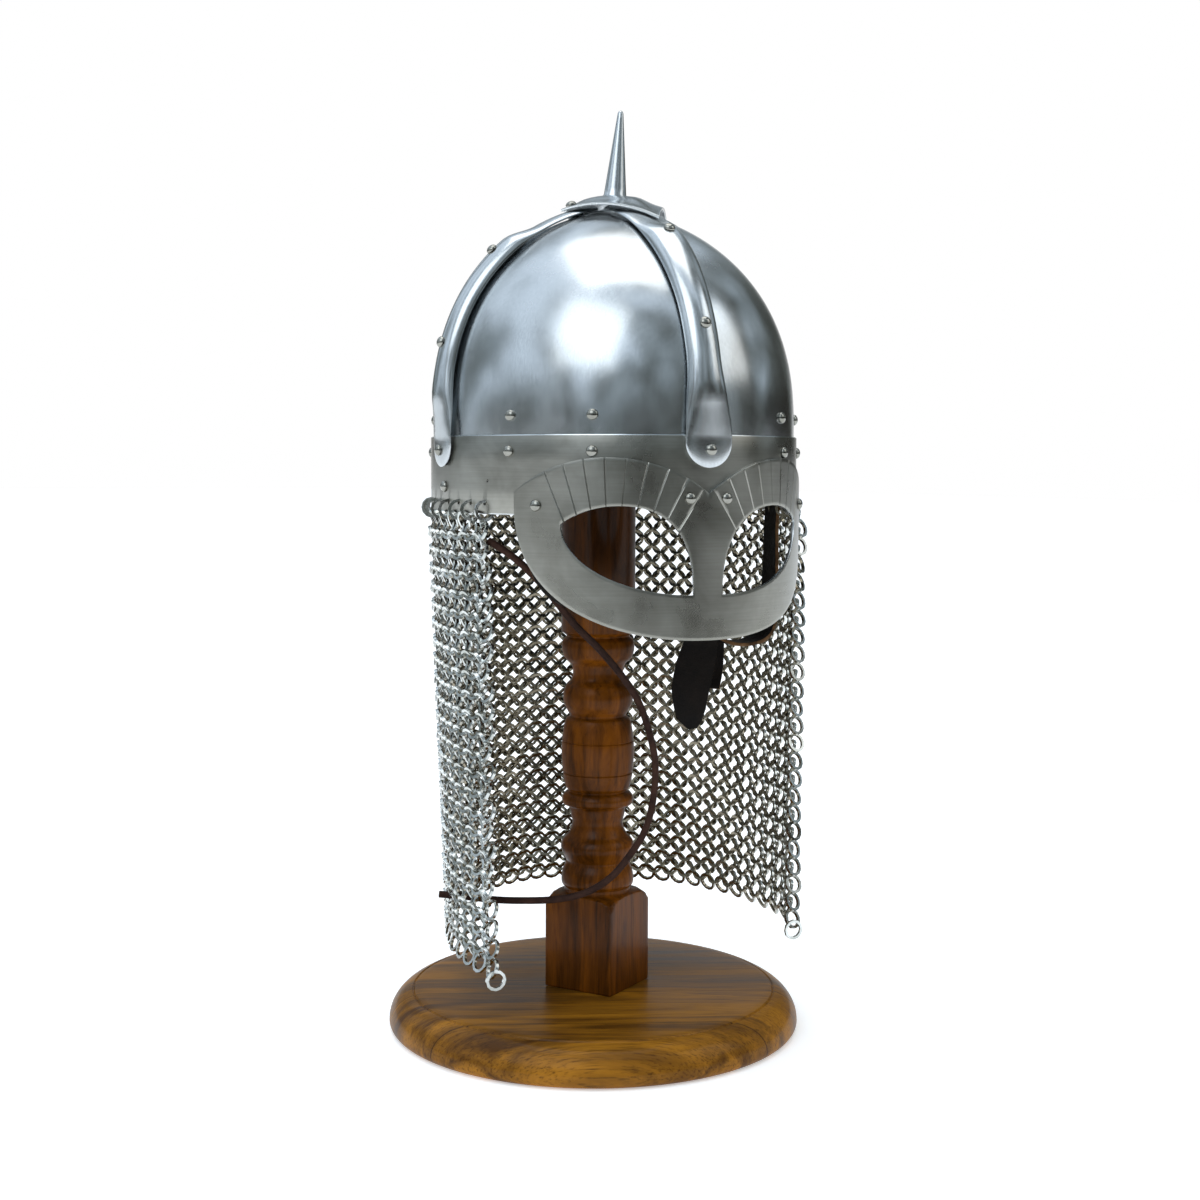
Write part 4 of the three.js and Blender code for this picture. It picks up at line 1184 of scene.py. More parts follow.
class HELMET_OT_stage(HelmetOperator, bpy.types.Operator):
    """Sets the camera, the pale floor and the soft studio light"""

    bl_idname = "helmet.stage"
    bl_label = "Stage"

    def execute(self, context):
        scene = context.scene
        camera = bpy.data.cameras.new("camera")
        camera.lens = CAMERA_LENS
        camera.sensor_width = 36
        camera.clip_start = 0.05
        stand = bpy.data.objects.new("camera", camera)
        turn = Matrix.Rotation(math.radians(CAMERA_TURN[2]), 4, "Z")
        turn = turn @ Matrix.Rotation(math.radians(CAMERA_TURN[0]), 4, "X")
        turn = turn @ Matrix.Rotation(math.radians(CAMERA_ROLL), 4, "Z")
        stand.matrix_world = Matrix.Translation(CAMERA_AT) @ turn
        scene.collection.objects.link(stand)
        scene.camera = stand
        scene.view_settings.view_transform = "Standard"
        self.make_floor()
        self.make_world(scene)
        self.make_lights(scene)
        return {"FINISHED"}

    def make_floor(self):
        mesh = bpy.data.meshes.new("floor")
        corners = [(-9, -1.6), (12, -1.6), (12, 24), (-9, 24)]
        mesh.from_pydata([(x, y, -0.0005) for x, y in corners], [], [(0, 1, 2, 3)])
        floor = link("floor", mesh)
        material, tree, shader = new_material("pale_floor", Roughness=0.9)
        shade = add_node(tree, "ShaderNodeTexNoise", {
            "Vector": pattern_place(tree, (333, 333, 333)),
            "Scale": 1.0,
            "Detail": 2.0,
            "Roughness": 0.55,
        })
        tint = add_node(tree, "ShaderNodeValToRGB", {"Fac": shade.outputs["Fac"]}, stops=[
            (0.3, (0.93, 0.93, 0.93)), (0.7, (0.95, 0.95, 0.95))])
        tree.links.new(tint.outputs["Color"], shader.inputs["Base Color"])
        # The paper glows a little further off, where the light above doesn't reach
        place = add_node(tree, "ShaderNodeTexCoord")
        far = add_node(tree, "ShaderNodeVectorMath", {0: place.outputs["Object"]},
                       operation="LENGTH")
        shader.inputs["Emission Color"].default_value = (1, 1, 1, 1)
        glow = add_node(tree, "ShaderNodeMapRange", {
            "Value": far.outputs["Value"],
            "From Min": 0.2,
            "From Max": 1.4,
            "To Min": 0.4,
            "To Max": 0.62,
        })
        tree.links.new(glow.outputs["Result"], shader.inputs["Emission Strength"])
        mesh.materials.append(material)

    def make_world(self, scene):
        world = bpy.data.worlds.new("studio")
        world.use_nodes = True
        tree = world.node_tree
        tree.nodes.clear()
        place = add_node(tree, "ShaderNodeTexCoord")
        way = place.outputs["Generated"]
        parts = add_node(tree, "ShaderNodeSeparateXYZ", {0: way})
        # A room with light and dark walls all round, paler overhead
        shifted = add_node(tree, "ShaderNodeMapping", {"Vector": way, "Location": ROOM_SHIFT})
        walls = add_node(tree, "ShaderNodeTexNoise", {
            "Vector": shifted.outputs[0],
            "Scale": 2.3,
            "Detail": 3.0,
            "Roughness": 0.55,
            "Distortion": 0.8,
        })
        above = add_node(tree, "ShaderNodeMapRange", {
            "Value": parts.outputs[2],
            "From Min": -0.05,
            "From Max": 0.5,
            "To Min": -0.12,
            "To Max": 0.13,
        })
        # Darker towards the wearer's left, where the room is unlit
        side = add_node(tree, "ShaderNodeMapRange", {
            "Value": parts.outputs[0],
            "From Min": -0.4,
            "From Max": 0.6,
            "To Min": 0.04,
            "To Max": -0.11,
        })
        gradient = add_node(tree, "ShaderNodeMath", {
            0: above.outputs["Result"],
            1: side.outputs["Result"],
        }, operation="ADD")
        light = add_node(tree, "ShaderNodeMath", {
            0: walls.outputs["Fac"],
            1: gradient.outputs[0],
        }, operation="ADD")
        room = add_node(tree, "ShaderNodeValToRGB", {"Fac": light.outputs[0]}, stops=[
            (0.3, linear("#26221b")), (0.45, linear("#5d615d")), (0.57, linear("#a1adb4")),
            (0.7, (0.98, 1.12, 1.28))])
        # White paper behind the helmet
        behind = add_node(tree, "ShaderNodeVectorMath", {0: way, 1: (0.42, 0.9, -0.07)},
                          operation="DOT_PRODUCT")
        paper = add_node(tree, "ShaderNodeMapRange", {
            "Value": behind.outputs["Value"],
            "From Min": 0.9,
            "From Max": 0.97,
            "To Min": 0.0,
            "To Max": 1.0,
        })
        papered = add_node(tree, "ShaderNodeMix", {
            MIX_SHARE: paper.outputs["Result"],
            MIX_FROM: room.outputs["Color"],
            MIX_TO: (1, 1, 1, 1),
        }, data_type="RGBA")
        # Seen straight on, the room is plain white paper on every side
        ray = add_node(tree, "ShaderNodeLightPath")
        plain = add_node(tree, "ShaderNodeMix", {
            MIX_SHARE: ray.outputs["Is Camera Ray"],
            MIX_FROM: papered.outputs[MIX_RESULT],
            MIX_TO: (1, 1, 1, 1),
        }, data_type="RGBA")
        glow = add_node(tree, "ShaderNodeBackground", {
            "Color": plain.outputs[MIX_RESULT],
            "Strength": 1.0,
        })
        add_node(tree, "ShaderNodeOutputWorld", {"Surface": glow.outputs[0]})
        scene.world = world

    def make_lights(self, scene):
        rows = [
            ("window_left", (-1.7, -1.1, 2.1), (1.8, 1.8), 15, (0.93, 0.97, 1.0)),
            ("window_right", (1.8, -1.3, 1.7), (1.2, 1.6), 7, (1.0, 0.98, 0.95)),
            ("overhead", (0.1, 0.2, 2.2), (1.5, 1.5), 14, (1.0, 1.0, 1.0)),
        ]
        for name, at, size, power, colour in rows:
            light = bpy.data.lights.new(name, "AREA")
            light.shape = "RECTANGLE"
            light.size, light.size_y = size
            light.energy = power
            light.color = colour
            lamp = bpy.data.objects.new(name, light)
            aim = Vector((0, 0, 0.3)) - Vector(at)
            turn = aim.to_track_quat("-Z", "Y").to_matrix().to_4x4()
            lamp.matrix_world = Matrix.Translation(at) @ turn
            scene.collection.objects.link(lamp)


class HELMET_OT_lace(HelmetOperator, bpy.types.Operator):
    """Hangs the leather lace from the mail in its long curve"""

    bl_idname = "helmet.lace"
    bl_label = "Leather lace"

    def execute(self, context):
        path = through(LACE_ROUTE, 121)
        curve = bpy.data.curves.new("lace", "CURVE")
        curve.dimensions = "3D"
        curve.bevel_depth = self.sizes.lace / 2
        curve.bevel_resolution = 3
        curve.use_fill_caps = True
        line = curve.splines.new("POLY")
        line.points.add(len(path) - 1)
        for point, at in zip(line.points, path):
            point.co = (*at, 1)
        piece = bpy.data.objects.new("leather_lace", curve)
        context.scene.collection.objects.link(piece)
        finishes = self.finishes
        # Dark brown leather lace: matt, and paler where it is rubbed
        material = cached("lace_leather", lambda: leather(
            "lace_leather", colour_of(finishes.lace), colour_of(finishes.lace_worn),
            0.625, (0.55, 0.8)))
        curve.materials.append(material)
        self.hand_over(piece, "thong_leather", "thong")
        return {"FINISHED"}


class HELMET_OT_bowl(HelmetOperator, bpy.types.Operator):
    """Raises the smooth bowl of the helmet"""

    bl_idname = "helmet.bowl"
    bl_label = "Bowl"

    def execute(self, context):
        rows = []
        turns = np.linspace(0, 360, 193)[:-1]
        for share in np.linspace(0, 1, 49):
            lean = math.radians(90 * share)
            around = math.sin(lean) ** (2 / DOME_ROUND_POWER)
            rise = max(math.cos(lean), 0) ** (2 / DOME_RISE_POWER)
            ring = oval(turns, BOWL_OFFSET, DOME_RISE * rise)
            ring[:, :2] *= around
            rows.append(ring)
        rows.append(oval(turns, BOWL_OFFSET, -BOWL_TUCK))
        piece = sheet_piece("helmet_bowl", rows, closed=True)
        set_finishes(piece, bowl_steel(self.finishes), edge_steel(self.finishes))
        thicken(piece, BOWL_WALL)
        settle(piece)
        self.hand_over(piece, "polished_steel", "bowl")
        return {"FINISHED"}


def eye_outline(count):
    """The eye hole's edge as lengths along the visor and heights."""
    upper = [mix(EYE_INNER, EYE_OUTER, (1 - math.cos(math.pi * i / count)) / 2)
             for i in range(count + 1)]
    edge = [(s, eye_top(s)) for s in upper]
    return edge + [(s, eye_floor(s)) for s in reversed(upper[1:-1])]


def plug_piece(name, near, far):
    """A closed plug between two matching rings of points."""
    count = len(near)
    faces = [tuple(range(count)), tuple(range(2 * count - 1, count - 1, -1))]
    for i in range(count):
        k = (i + 1) % count
        faces.append((i, i + count, k + count, k))
    return close_solid(mesh_piece(name, [*near, *far], faces))


def cut_away(piece, cutters):
    for cutter in cutters:
        cut = piece.modifiers.new("cut", "BOOLEAN")
        cut.operation = "DIFFERENCE"
        cut.solver = "EXACT"
        cut.object = cutter


class HELMET_OT_brow_band(HelmetOperator, bpy.types.Operator):
    """Rolls the brow band and drills the holes that carry the mail"""

    bl_idname = "helmet.brow_band"
    bl_label = "Brow band"

    def execute(self, context):
        turns = np.linspace(0, 360, 241)[:-1]
        rows = [oval(turns, 0, -drop) for drop in np.linspace(0, BAND_HEIGHT, 4)]
        piece = sheet_piece("brow_band_plate", rows, closed=True)
        set_finishes(piece, band_steel(self.finishes), edge_steel(self.finishes))
        thicken(piece, BAND_WALL, edge_width=0.75)
        cutters = [self.hole_cutter()]
        for mirror in (-1, 1):
            edge = eye_outline(24)
            near = [on_visor(mirror * s, z, -12) for s, z in edge]
            far = [on_visor(mirror * s, z, 12) for s, z in edge]
            cutters.append(plug_piece("eye_plug", near, far))
        cut_away(piece, cutters)
        settle(piece)
        for cutter in cutters:
            bpy.data.objects.remove(cutter)
        self.hand_over(piece, "brushed_band_steel", "brow_band")
        return {"FINISHED"}

    def hole_cutter(self):
        points, faces = [], []
        sides = 10
        places = [(-HOLE_START - HOLE_PITCH * i, HOLE_DROP, HOLE_RADIUS)
                  for i in range(HOLE_COUNT)]
        for angle, drop, radius in [*places, SPARE_HOLE]:
            normal = oval_normal(np.array(angle))
            level = np.array([-normal[1], normal[0], 0])
            start = len(points)
            for reach in (-6, 6):
                for i in range(sides):
                    turn = 2 * math.pi * i / sides
                    points.append(oval(angle, 0, -drop) + normal * reach
                                  + level * radius * math.cos(turn)
                                  + np.array([0, 0, 1]) * radius * math.sin(turn))
            faces.append(tuple(range(start, start + sides)))
            faces.append(tuple(range(start + 2 * sides - 1, start + sides - 1, -1)))
            for i in range(sides):
                k = (i + 1) % sides
                faces.append((start + i, start + i + sides, start + k + sides, start + k))
        return close_solid(mesh_piece("hole_drill", points, faces))


class HELMET_OT_ribs(HelmetOperator, bpy.types.Operator):
    """Beats out the four hollow ribs that cross the bowl"""

    bl_idname = "helmet.ribs"
    bl_label = "Ribs"

    def execute(self, context):
        across = np.sin(np.linspace(-math.pi / 2, math.pi / 2, 17))
        for side in SIDES:
            start = rib_start(side)
            downs = [*np.linspace(start, 1, 60), *np.linspace(1.05, 1.6, 8),
                     *(1 + np.sin(np.linspace(0.72, math.pi / 2, 12)))]
            rows = []
            for down in downs:
                row = []
                for s in across:
                    at, normal, under = rib_seat(side, float(down), float(s))
                    row.append(at + normal * (under + RIB_WALL))
                rows.append(row)
            piece = sheet_piece(f"dome_rib_{side}", rows)
            set_finishes(piece, bowl_steel(self.finishes), edge_steel(self.finishes))
            thicken(piece, RIB_WALL)
            settle(piece)
            self.hand_over(piece, "polished_steel", f"rib_{side}")
        return {"FINISHED"}


class HELMET_OT_finial(HelmetOperator, bpy.types.Operator):
    """Forms the lozenge plate on the crown and turns its spike"""

    bl_idname = "helmet.finial"
    bl_label = "Finial"

    def execute(self, context):
        corners = [0, 90, 180, 270]
        turns = [c + 90 * t for c in corners for t in np.linspace(0, 1, 17)[:-1]]
        rows = []
        for share in (0.0, 0.08, 0.16, 0.25, 0.35, 0.45, 0.55, 0.65, 0.75, 0.85, 0.93, 1.0):
            row = []
            for turn in turns:
                at, normal, under = plate_seat(math.radians(turn), share)
                row.append(at + normal * (under + PLATE_WALL))
            rows.append(row)
        plate = sheet_piece("crown_plate", rows, closed=True)
        set_finishes(plate, bowl_steel(self.finishes), edge_steel(self.finishes))
        thicken(plate, PLATE_WALL)
        settle(plate)
        self.hand_over(plate, "polished_steel", "finial_plate")
        self.make_spike()
        return {"FINISHED"}

    def make_spike(self):
        at, normal, under = plate_seat(0.0, 0.0)
        foot = at + normal * (under + PLATE_WALL)
        lean = math.radians(SPIKE_LEAN)
        bearing = math.radians(SPIKE_LEAN_BEARING)
        axis = Vector((math.sin(lean) * math.cos(bearing), math.sin(lean) * math.sin(bearing),
                       math.cos(lean)))
        spike = lathe_piece("crown_spike", self.spike_profile(), 48, np.zeros(3))
        turn = axis.to_track_quat("Z", "Y").to_matrix().to_4x4()
        spike.data.transform(Matrix.Translation(Vector((foot + HELMET_AT) * MM)) @ turn)
        set_finishes(spike, bowl_steel(self.finishes))
        settle(spike, 50)
        self.hand_over(spike, "polished_steel", "spike")

    def spike_profile(self):
        base, tip = SPIKE_BASE_RADIUS, SPIKE_TIP_RADIUS
        profile = [(0, -SPIKE_TANG_DEPTH), (SPIKE_TANG_RADIUS, -SPIKE_TANG_DEPTH),
                   (SPIKE_TANG_RADIUS, SEAT_GAP), (base - 0.5, SEAT_GAP), (base, 0.7), (base, 1.4)]
        for share in np.linspace(0.05, 0.97, 16):
            profile.append((mix(base - 0.3, tip, share), SPIKE_HEIGHT * share))
        profile.append((tip * 0.7, SPIKE_HEIGHT - 0.4))
        return [*profile, (tip * 0.3, SPIKE_HEIGHT), (0, SPIKE_HEIGHT)]


class HELMET_OT_visor(HelmetOperator, bpy.types.Operator):
    """Cuts the spectacle visor with its eye holes and engraves the brows"""

    bl_idname = "helmet.visor"
    bl_label = "Spectacle visor"

    def columns(self):
        """Columns from the nose outwards: foot and head lengths and the engraved depth."""
        keys = [(0.0, 0.0)]
        for angle in FAN_ANGLES:
            keys.append((fan_crossing(angle, eye_top), fan_crossing(angle, visor_top)))
        keys.append((VISOR_HALF_SPAN, VISOR_HALF_SPAN))
        feet = [k[0] for k in keys]
        heads = [k[1] for k in keys]
        stations = {0.0: 0.0, VISOR_HALF_SPAN: 0.0}
        for foot in feet[1:-1]:
            for shift, depth in ((-0.4, 0.0), (0.0, self.sizes.engraving), (0.4, 0.0)):
                stations[foot + shift] = depth
        extra = [EYE_INNER + 9 * (i / 14) ** 2 for i in range(14)]
        extra += [EYE_OUTER - 6 * (i / 6) ** 2 for i in range(6)]
        extra += list(np.arange(2, VISOR_HALF_SPAN - 4, 1.8))
        extra += [VISOR_HALF_SPAN - 4 * (i / 7) ** 2 for i in range(1, 7)]
        for s in extra:
            if all(abs(s - foot) > 0.9 for foot in feet[1:-1]):
                stations[float(s)] = 0.0
        return [(s, float(np.interp(s, feet, heads)), depth)
                for s, depth in sorted(stations.items())]

    def execute(self, context):
        columns = self.columns()
        mirrored = [(-s, -head, depth) for s, head, depth in reversed(columns[1:])]
        lower_rows, upper_rows = 14, 14
        lower, upper = [], []
        for foot, head, depth in [*mirrored, *columns]:
            s = abs(foot)
            if EYE_INNER < s < EYE_OUTER:
                split, rise = eye_floor(s), eye_top(s)
            else:
                split = rise = self.split_height(s)
            lower.append([on_visor(foot, mix(visor_bottom(s), split, i / lower_rows), VISOR_WALL)
                          for i in range(lower_rows + 1)])
            column = []
            for i in range(upper_rows + 1):
                share = i / upper_rows
                at = mix(foot, head, share)
                z = mix(rise, visor_top(abs(head)), share)
                column.append(on_visor(at, z, VISOR_WALL - depth))
            upper.append(column)
        sheets = [np.array(sheet).transpose(1, 0, 2) for sheet in (lower, upper)]
        points = np.concatenate([sheet.reshape(-1, 3) for sheet in sheets])
        faces = grid_faces(*sheets[0].shape[:2])
        faces += grid_faces(*sheets[1].shape[:2], start=sheets[0].shape[0] * sheets[0].shape[1])
        piece = mesh_piece("spectacle_visor", points, faces)
        face_outward(piece)
        set_finishes(piece, band_steel(self.finishes), edge_steel(self.finishes))
        thicken(piece, VISOR_WALL, edge_width=0.5)
        settle(piece, 30)
        self.hand_over(piece, "brushed_band_steel", "visor")
        return {"FINISHED"}

    def split_height(self, s):
        if s <= EYE_INNER:
            return -EYE_FLOOR_DROP
        share = (s - EYE_OUTER) / (VISOR_HALF_SPAN - EYE_OUTER)
        return mix(-EYE_TIP_DROP, (visor_top(VISOR_HALF_SPAN) - VISOR_CORNER_DROP) / 2, share)


class HELMET_OT_rivets(HelmetOperator, bpy.types.Operator):
    """Sets the domed rivets of the bowl, band, ribs, visor and finial"""

    bl_idname = "helmet.rivets"
    bl_label = "Rivets"

    def places(self):
        plan = []
        for mirror, hand in ((-1, "right"), (1, "left")):
            for i, angle in enumerate(ROW_ANGLES):
                at, normal = bowl_seat(oval(mirror * angle, BOWL_OFFSET, UPPER_ROW_RISE))
                plan.append((f"dome_rivet_{hand}_{i + 1}", at, normal))
                plan.append((f"band_rivet_{hand}_{i + 1}",
                             *self.on_band(mirror * angle, LOWER_ROW_DROP, 0)))
            for row, (angle, drop) in VISOR_RIVETS.items():
                plan.append((f"visor_rivet_{row}_{hand}",
                             *self.on_band(mirror * angle, drop, SEAT_GAP + VISOR_WALL)))
        for hand, (angle, drop) in SIDE_RIVETS.items():
            plan.append((f"side_rivet_{hand}", *self.on_band(angle, drop, 0)))
        for side, downs in RIB_RIVET_DOWNS.items():
            for i, down in enumerate(downs):
                at, normal, under = rib_seat(side, down, 0.0)
                head = at + normal * (under + RIB_WALL)
                plan.append((f"rib_rivet_{side}_{i + 1}", head, normal))
        for hand, (turn, share) in PLATE_RIVETS.items():
            at, normal, under = plate_seat(math.radians(turn), share)
            plan.append((f"plate_rivet_{hand}", at + normal * (under + PLATE_WALL), normal))
        return plan

    def on_band(self, angle, drop, offset):
        normal = oval_normal(np.array(float(angle)))
        return oval(float(angle), 0, -drop) + normal * offset, normal

    def execute(self, context):
        plan = self.places()
        radius = self.sizes.rivet_width / 2
        height = self.sizes.rivet_height
        profile = [(0, -1.2), (1.4, -1.2), (1.4, 0.05), (radius * 0.96, 0.05), (radius, 0.3)]
        for i in range(1, 8):
            turn = math.radians(90 * i / 8)
            profile.append((radius * math.cos(turn), 0.3 + (height - 0.3) * math.sin(turn)))
        profile.append((0, height))
        head = lathe_piece("rivet_head", profile, 20, np.zeros(3))
        head.data.shade_smooth()
        places = [(at, turn_towards(normal)) for _, at, normal in plan]
        piece = repeat_pattern("domed_rivets", head, places, rivet_steel(self.finishes))
        self.hand_over(piece, "rivet_steel", *[name for name, _, _ in plan])
        return {"FINISHED"}


class HELMET_OT_mail(HelmetOperator, bpy.types.Operator):
    """Weaves the mail curtain, each ring through the four beside it"""

    bl_idname = "helmet.mail"
    bl_label = "Mail curtain"

    def execute(self, context):
        sizes = self.sizes
        reach = (sizes.ring_width - sizes.wire) / 2
        chance = np.random.default_rng(7)
        places = []
        for i in range(HOLE_COUNT):
            angle = HOLE_START + HOLE_PITCH * i
            normal = oval_normal(np.array(-angle))
            at = oval(-angle, -BAND_WALL / 2, -HOLE_DROP - reach + HANGER_TUCK)
            level = np.array([-normal[1], normal[0], 0])
            slant = level * math.cos(HANGER_SLANT) + normal * math.sin(HANGER_SLANT)
            places.append((at + normal * HANGER_STAND, turn_towards(slant)))
        first = HOLE_DROP + reach + FIRST_ROW_DROP
        for row in range(sizes.mail_rows):
            shift = 0.5 if row % 2 == 0 else 0.0
            for i in range(HOLE_COUNT - (row % 2 == 0)):
                angle = HOLE_START + HOLE_PITCH * (i + shift)
                foot = drape(angle, 3) - sizes.ring_width / 2
                drop = mix(first, foot, row / (sizes.mail_rows - 1))
                swing = 0.0
                if i == 0:
                    swing = chance.normal(*RIGHT_EDGE_SWING)
                elif i == HOLE_COUNT - 1:
                    swing = chance.normal(*LEFT_EDGE_SWING)
                places.append(self.ring(angle, drop, -1 if shift else 1, chance, swing))
        last = HOLE_START + HOLE_PITCH * (HOLE_COUNT - 1)
        for angle, side in ((HOLE_START - LONE_RING_ANGLE, 1), (last + LONE_RING_ANGLE, -1)):
            foot = drape(angle, 3) - sizes.ring_width / 2 + LONE_RING_DROP
            places.append(self.ring(angle, foot, 0.0, chance, LONE_RING_SWING * side))
        pattern = self.ring_pattern(reach, sizes.wire / 2)
        piece = repeat_pattern("mail_rings", pattern, places, mail_wire(self.finishes), 80)
        self.hand_over(piece, "zinc_mail", "mail_curtain")
        return {"FINISHED"}

    def ring(self, angle, drop, lean, chance, swing=0.0):
        """A ring's place: it leans up or down with its row; at the free edges it swings out."""
        at, normal = mail_point(angle, drop)
        up = np.array([0, 0, 1.0])
        level = np.cross(up, normal)
        tilt = self.sizes.ring_tilt * lean + chance.normal(0, RING_WOBBLE)
        twist = swing + chance.normal(0, RING_WOBBLE)
        flat = normal * math.cos(twist) + level * math.sin(twist)
        facing = flat * math.cos(tilt) + up * math.sin(tilt)
        aside = level * (FAR_SWING_SHIFT if swing < FAR_SWING else 0)
        return at + aside + chance.normal(0, RING_SCATTER, 3), turn_towards(facing)

    def ring_pattern(self, reach, thin):
        points = []
        for i in range(RING_STEPS):
            turn = 2 * math.pi * i / RING_STEPS
            for j in range(WIRE_SIDES):
                spin = 2 * math.pi * (j + 0.5) / WIRE_SIDES
                r = reach + thin * WIRE_PROUD * math.cos(spin)
                points.append((r * math.cos(turn), r * math.sin(turn),
                               thin * WIRE_PROUD * math.sin(spin)))
        faces = []
        for i in range(RING_STEPS):
            for j in range(WIRE_SIDES):
                a, b = i * WIRE_SIDES, (i + 1) % RING_STEPS * WIRE_SIDES
                k = (j + 1) % WIRE_SIDES
                faces.append((a + j, b + j, b + k, a + k))
        ring = close_solid(mesh_piece("ring_pattern", points, faces, np.zeros(3)))
        ring.data.shade_smooth()
        return ring


class HELMET_OT_chin_leather(HelmetOperator, bpy.types.Operator):
    """Cuts the chin strap and the tab folded over it"""

    bl_idname = "helmet.chin_leather"
    bl_label = "Chin strap and tab"

    def ribbon(self, name, route, widths, bearings, steps):
        path = through([row[:3] for row in route], steps)
        share = np.linspace(0, len(route) - 1, steps)
        half = np.interp(share, range(len(route)), widths)
        turn = np.radians(np.interp(share, range(len(route)), bearings))
        along = np.gradient(path, axis=0)
        along /= np.linalg.norm(along, axis=1, keepdims=True)
        width = np.stack([np.cos(turn), np.sin(turn), 0 * turn], -1)
        width -= along * (width * along).sum(1, keepdims=True)
        width /= np.linalg.norm(width, axis=1, keepdims=True)
        face = np.cross(along, width)
        across = np.linspace(-1, 1, 9)
        grid = np.array([[path[i] + width[i] * half[i] * s + face[i] * LEATHER_CROWN * (1 - s * s)
                          for s in across] for i in range(steps)])
        return mesh_piece(name, grid.reshape(-1, 3), grid_faces(steps, len(across)))

    def execute(self, context):
        finishes, sizes = self.finishes, self.sizes
        # Black dyed strap leather, dull and hardly worn, and its raw brown edge
        face = cached("strap_leather_face", lambda: leather(
            "strap_leather_face", colour_of(finishes.strap), colour_of(finishes.strap_worn),
            0.909, (0.42, 0.62)))
        edge = cached("strap_leather_edge", lambda: leather(
            "strap_leather_edge", colour_of(finishes.strap_edge), colour_of(finishes.strap_worn),
            0.417, (0.7, 0.9)))
        half = sizes.strap_width / 2
        strap = self.ribbon("chin_strap_leather", STRAP_ROUTE, [half] * len(STRAP_ROUTE),
                            [row[3] for row in STRAP_ROUTE], 121)
        tab = self.ribbon("chin_tab_leather", TAB_ROUTE, [row[3] for row in TAB_ROUTE],
                          [TAB_BEARING] * len(TAB_ROUTE), 81)
        for piece, node in ((strap, "chin_strap"), (tab, "chin_tab")):
            set_finishes(piece, face, edge)
            thicken(piece, sizes.leather_wall, 0.0, 0.35)
            settle(piece)
            self.hand_over(piece, "strap_leather", node)
        return {"FINISHED"}


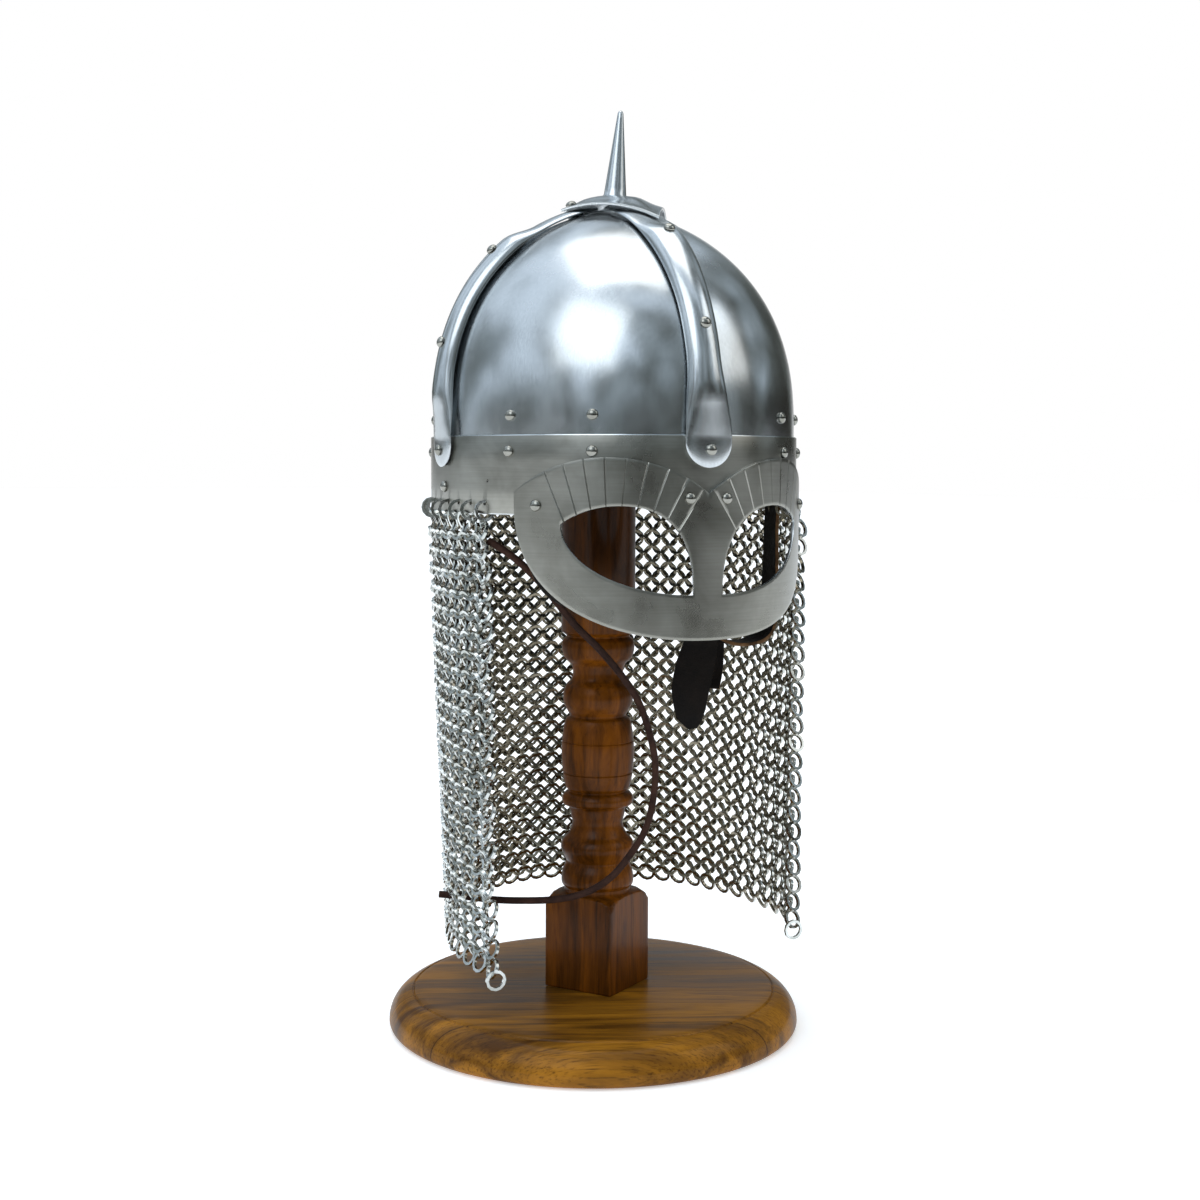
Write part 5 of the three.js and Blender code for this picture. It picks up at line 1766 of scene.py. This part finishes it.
class HELMET_OT_stand(HelmetOperator, bpy.types.Operator):
    """Turns the post and the round disc of the wooden stand"""

    bl_idname = "helmet.stand"
    bl_label = "Wooden stand"

    def execute(self, context):
        disc = lathe_piece("round_disc", self.disc_profile(), 256, np.zeros(3))
        set_finishes(disc, disc_wood(self.finishes))
        settle(disc, 30)
        self.hand_over(disc, "disc_wood", "stand_disc")
        post = self.post_piece()
        set_finishes(post, post_wood(self.finishes))
        soften(post, 0.5, 50)
        settle(post, 32)
        self.hand_over(post, "post_wood", "stand_post")
        return {"FINISHED"}

    def disc_profile(self):
        radius = DISC_HIGH[0]
        thick = DISC_HIGH[2]
        rim = radius - DISC_ROUND_WIDTH
        foot = radius - DISC_FOOT_ROUND
        profile = [(0, 0), (foot, 0)]
        for turn in np.radians(np.linspace(15, 90, 6)):
            profile.append((foot + DISC_FOOT_ROUND * math.sin(turn),
                            (thick - DISC_ROUND_DROP) * (1 - math.cos(turn))))

        def arch(r):
            share = min(max(r - rim, 0) / DISC_ROUND_WIDTH, 1)
            return thick - DISC_ROUND_DROP * (1 - math.sqrt(1 - share ** 2))

        for turn in np.radians(np.linspace(8, 82, 22)):
            r = rim + DISC_ROUND_WIDTH * math.cos(turn)
            if abs(r - GROOVE_RADIUS) > GROOVE_WIDTH * 0.6:
                profile.append((r, arch(r)))
        for shift in (0.5, 0.25, 0, -0.25, -0.5):
            r = GROOVE_RADIUS + GROOVE_WIDTH * shift
            profile.append((r, arch(r) - GROOVE_DEPTH * math.cos(math.pi * shift)))
        profile += [(rim, thick), (rim * 0.6, thick), (0, thick)]
        feet, tops = profile[:8], sorted(profile[8:], key=lambda row: -row[0])
        return feet + tops

    def post_piece(self):
        top = POST_HIGH[2] - DISC_HIGH[2]
        square = BLOCK_SIDE / 2
        corner = square * math.sqrt(2)
        trim = [(BLOCK_HEIGHT - BLOCK_SHOULDER, corner + 0.5),
                (BLOCK_HEIGHT - BLOCK_SHOULDER * 0.45, corner - 2),
                (BLOCK_HEIGHT - BLOCK_SHOULDER * 0.1, corner - 6),
                (BLOCK_HEIGHT, POST_RADIUS * 0.9)]
        heights = [SEAT_GAP, SEAT_GAP + 1.0, *np.linspace(6, 46, 9),
                   *np.linspace(BLOCK_HEIGHT - BLOCK_SHOULDER, BLOCK_HEIGHT, 15)]
        cap = POST_RADIUS * 1.9
        turned = [(h, POST_RADIUS * share) for h, share in POST_TURNING[1:]]
        turned = through(turned, 260)
        for score in POST_SCORES:
            beside = float(np.interp(score, turned[:, 0], turned[:, 1]))
            cut = [(score - 0.5, beside), (score, beside - POST_SCORE_DEPTH), (score + 0.5, beside)]
            turned = np.vstack([turned[turned[:, 0] < score - 0.5], cut,
                                turned[turned[:, 0] > score + 0.5]])
        head = [(top - (cap - math.sqrt(cap ** 2 - r ** 2)), r)
                for r in POST_RADIUS * np.array([1, 0.95, 0.85, 0.7, 0.5, 0.3, 0.12])]
        steps = 96
        turns = [2 * math.pi * j / steps for j in range(steps)]
        rows = [[0.0] * steps]
        levels = [SEAT_GAP]
        for h in heights:
            limit = float(np.interp(h, [row[0] for row in trim], [row[1] for row in trim]))
            if h < trim[0][0]:
                limit = corner + 1
            rows.append([min(square / max(abs(math.cos(t)), abs(math.sin(t))), limit)
                         for t in turns])
            levels.append(h)
        for h, r in [*turned, (head[0][0] - 2, POST_RADIUS), *head, (top, 0.0)]:
            rows.append([float(r)] * steps)
            levels.append(float(h))
        points = []
        spin = math.radians(45 + BLOCK_TURN)
        for row, level in zip(rows, levels):
            for r, t in zip(row, turns):
                points.append((r * math.cos(t + spin), r * math.sin(t + spin), level))
        at = np.array([*POST_AT, DISC_HIGH[2]])
        piece = mesh_piece("turned_post", points, grid_faces(len(rows), steps, True), at)
        return close_solid(piece)


class HELMET_PT_panel(bpy.types.Panel):
    """Lists the helmet's sizes, colours and building steps"""

    bl_label = "Spectacle helmet"
    bl_idname = "HELMET_PT_panel"
    bl_space_type = "VIEW_3D"
    bl_region_type = "UI"
    bl_category = "Helmet"

    def draw(self, context):
        for group in (context.scene.helmet_sizes, context.scene.helmet_finishes):
            column = self.layout.column(align=True)
            for name in group.__annotations__:
                column.prop(group, name)
        for step in STEPS:
            self.layout.operator(step.bl_idname)


STEPS = (
    HELMET_OT_stage,
    HELMET_OT_lace,
    HELMET_OT_bowl,
    HELMET_OT_brow_band,
    HELMET_OT_ribs,
    HELMET_OT_finial,
    HELMET_OT_visor,
    HELMET_OT_rivets,
    HELMET_OT_mail,
    HELMET_OT_chin_leather,
    HELMET_OT_stand,
)
CLASSES = (HelmetSizes, HelmetFinishes, *STEPS, HELMET_PT_panel)


def register():
    for cls in CLASSES:
        bpy.utils.register_class(cls)
    bpy.types.Scene.helmet_sizes = PointerProperty(type=HelmetSizes)
    bpy.types.Scene.helmet_finishes = PointerProperty(type=HelmetFinishes)


def unregister():
    del bpy.types.Scene.helmet_finishes
    del bpy.types.Scene.helmet_sizes
    for cls in reversed(CLASSES):
        bpy.utils.unregister_class(cls)


def main():
    register()
    for step in STEPS:
        family, name = step.bl_idname.split(".")
        getattr(getattr(bpy.ops, family), name)()


if __name__ == "__main__":
    main()
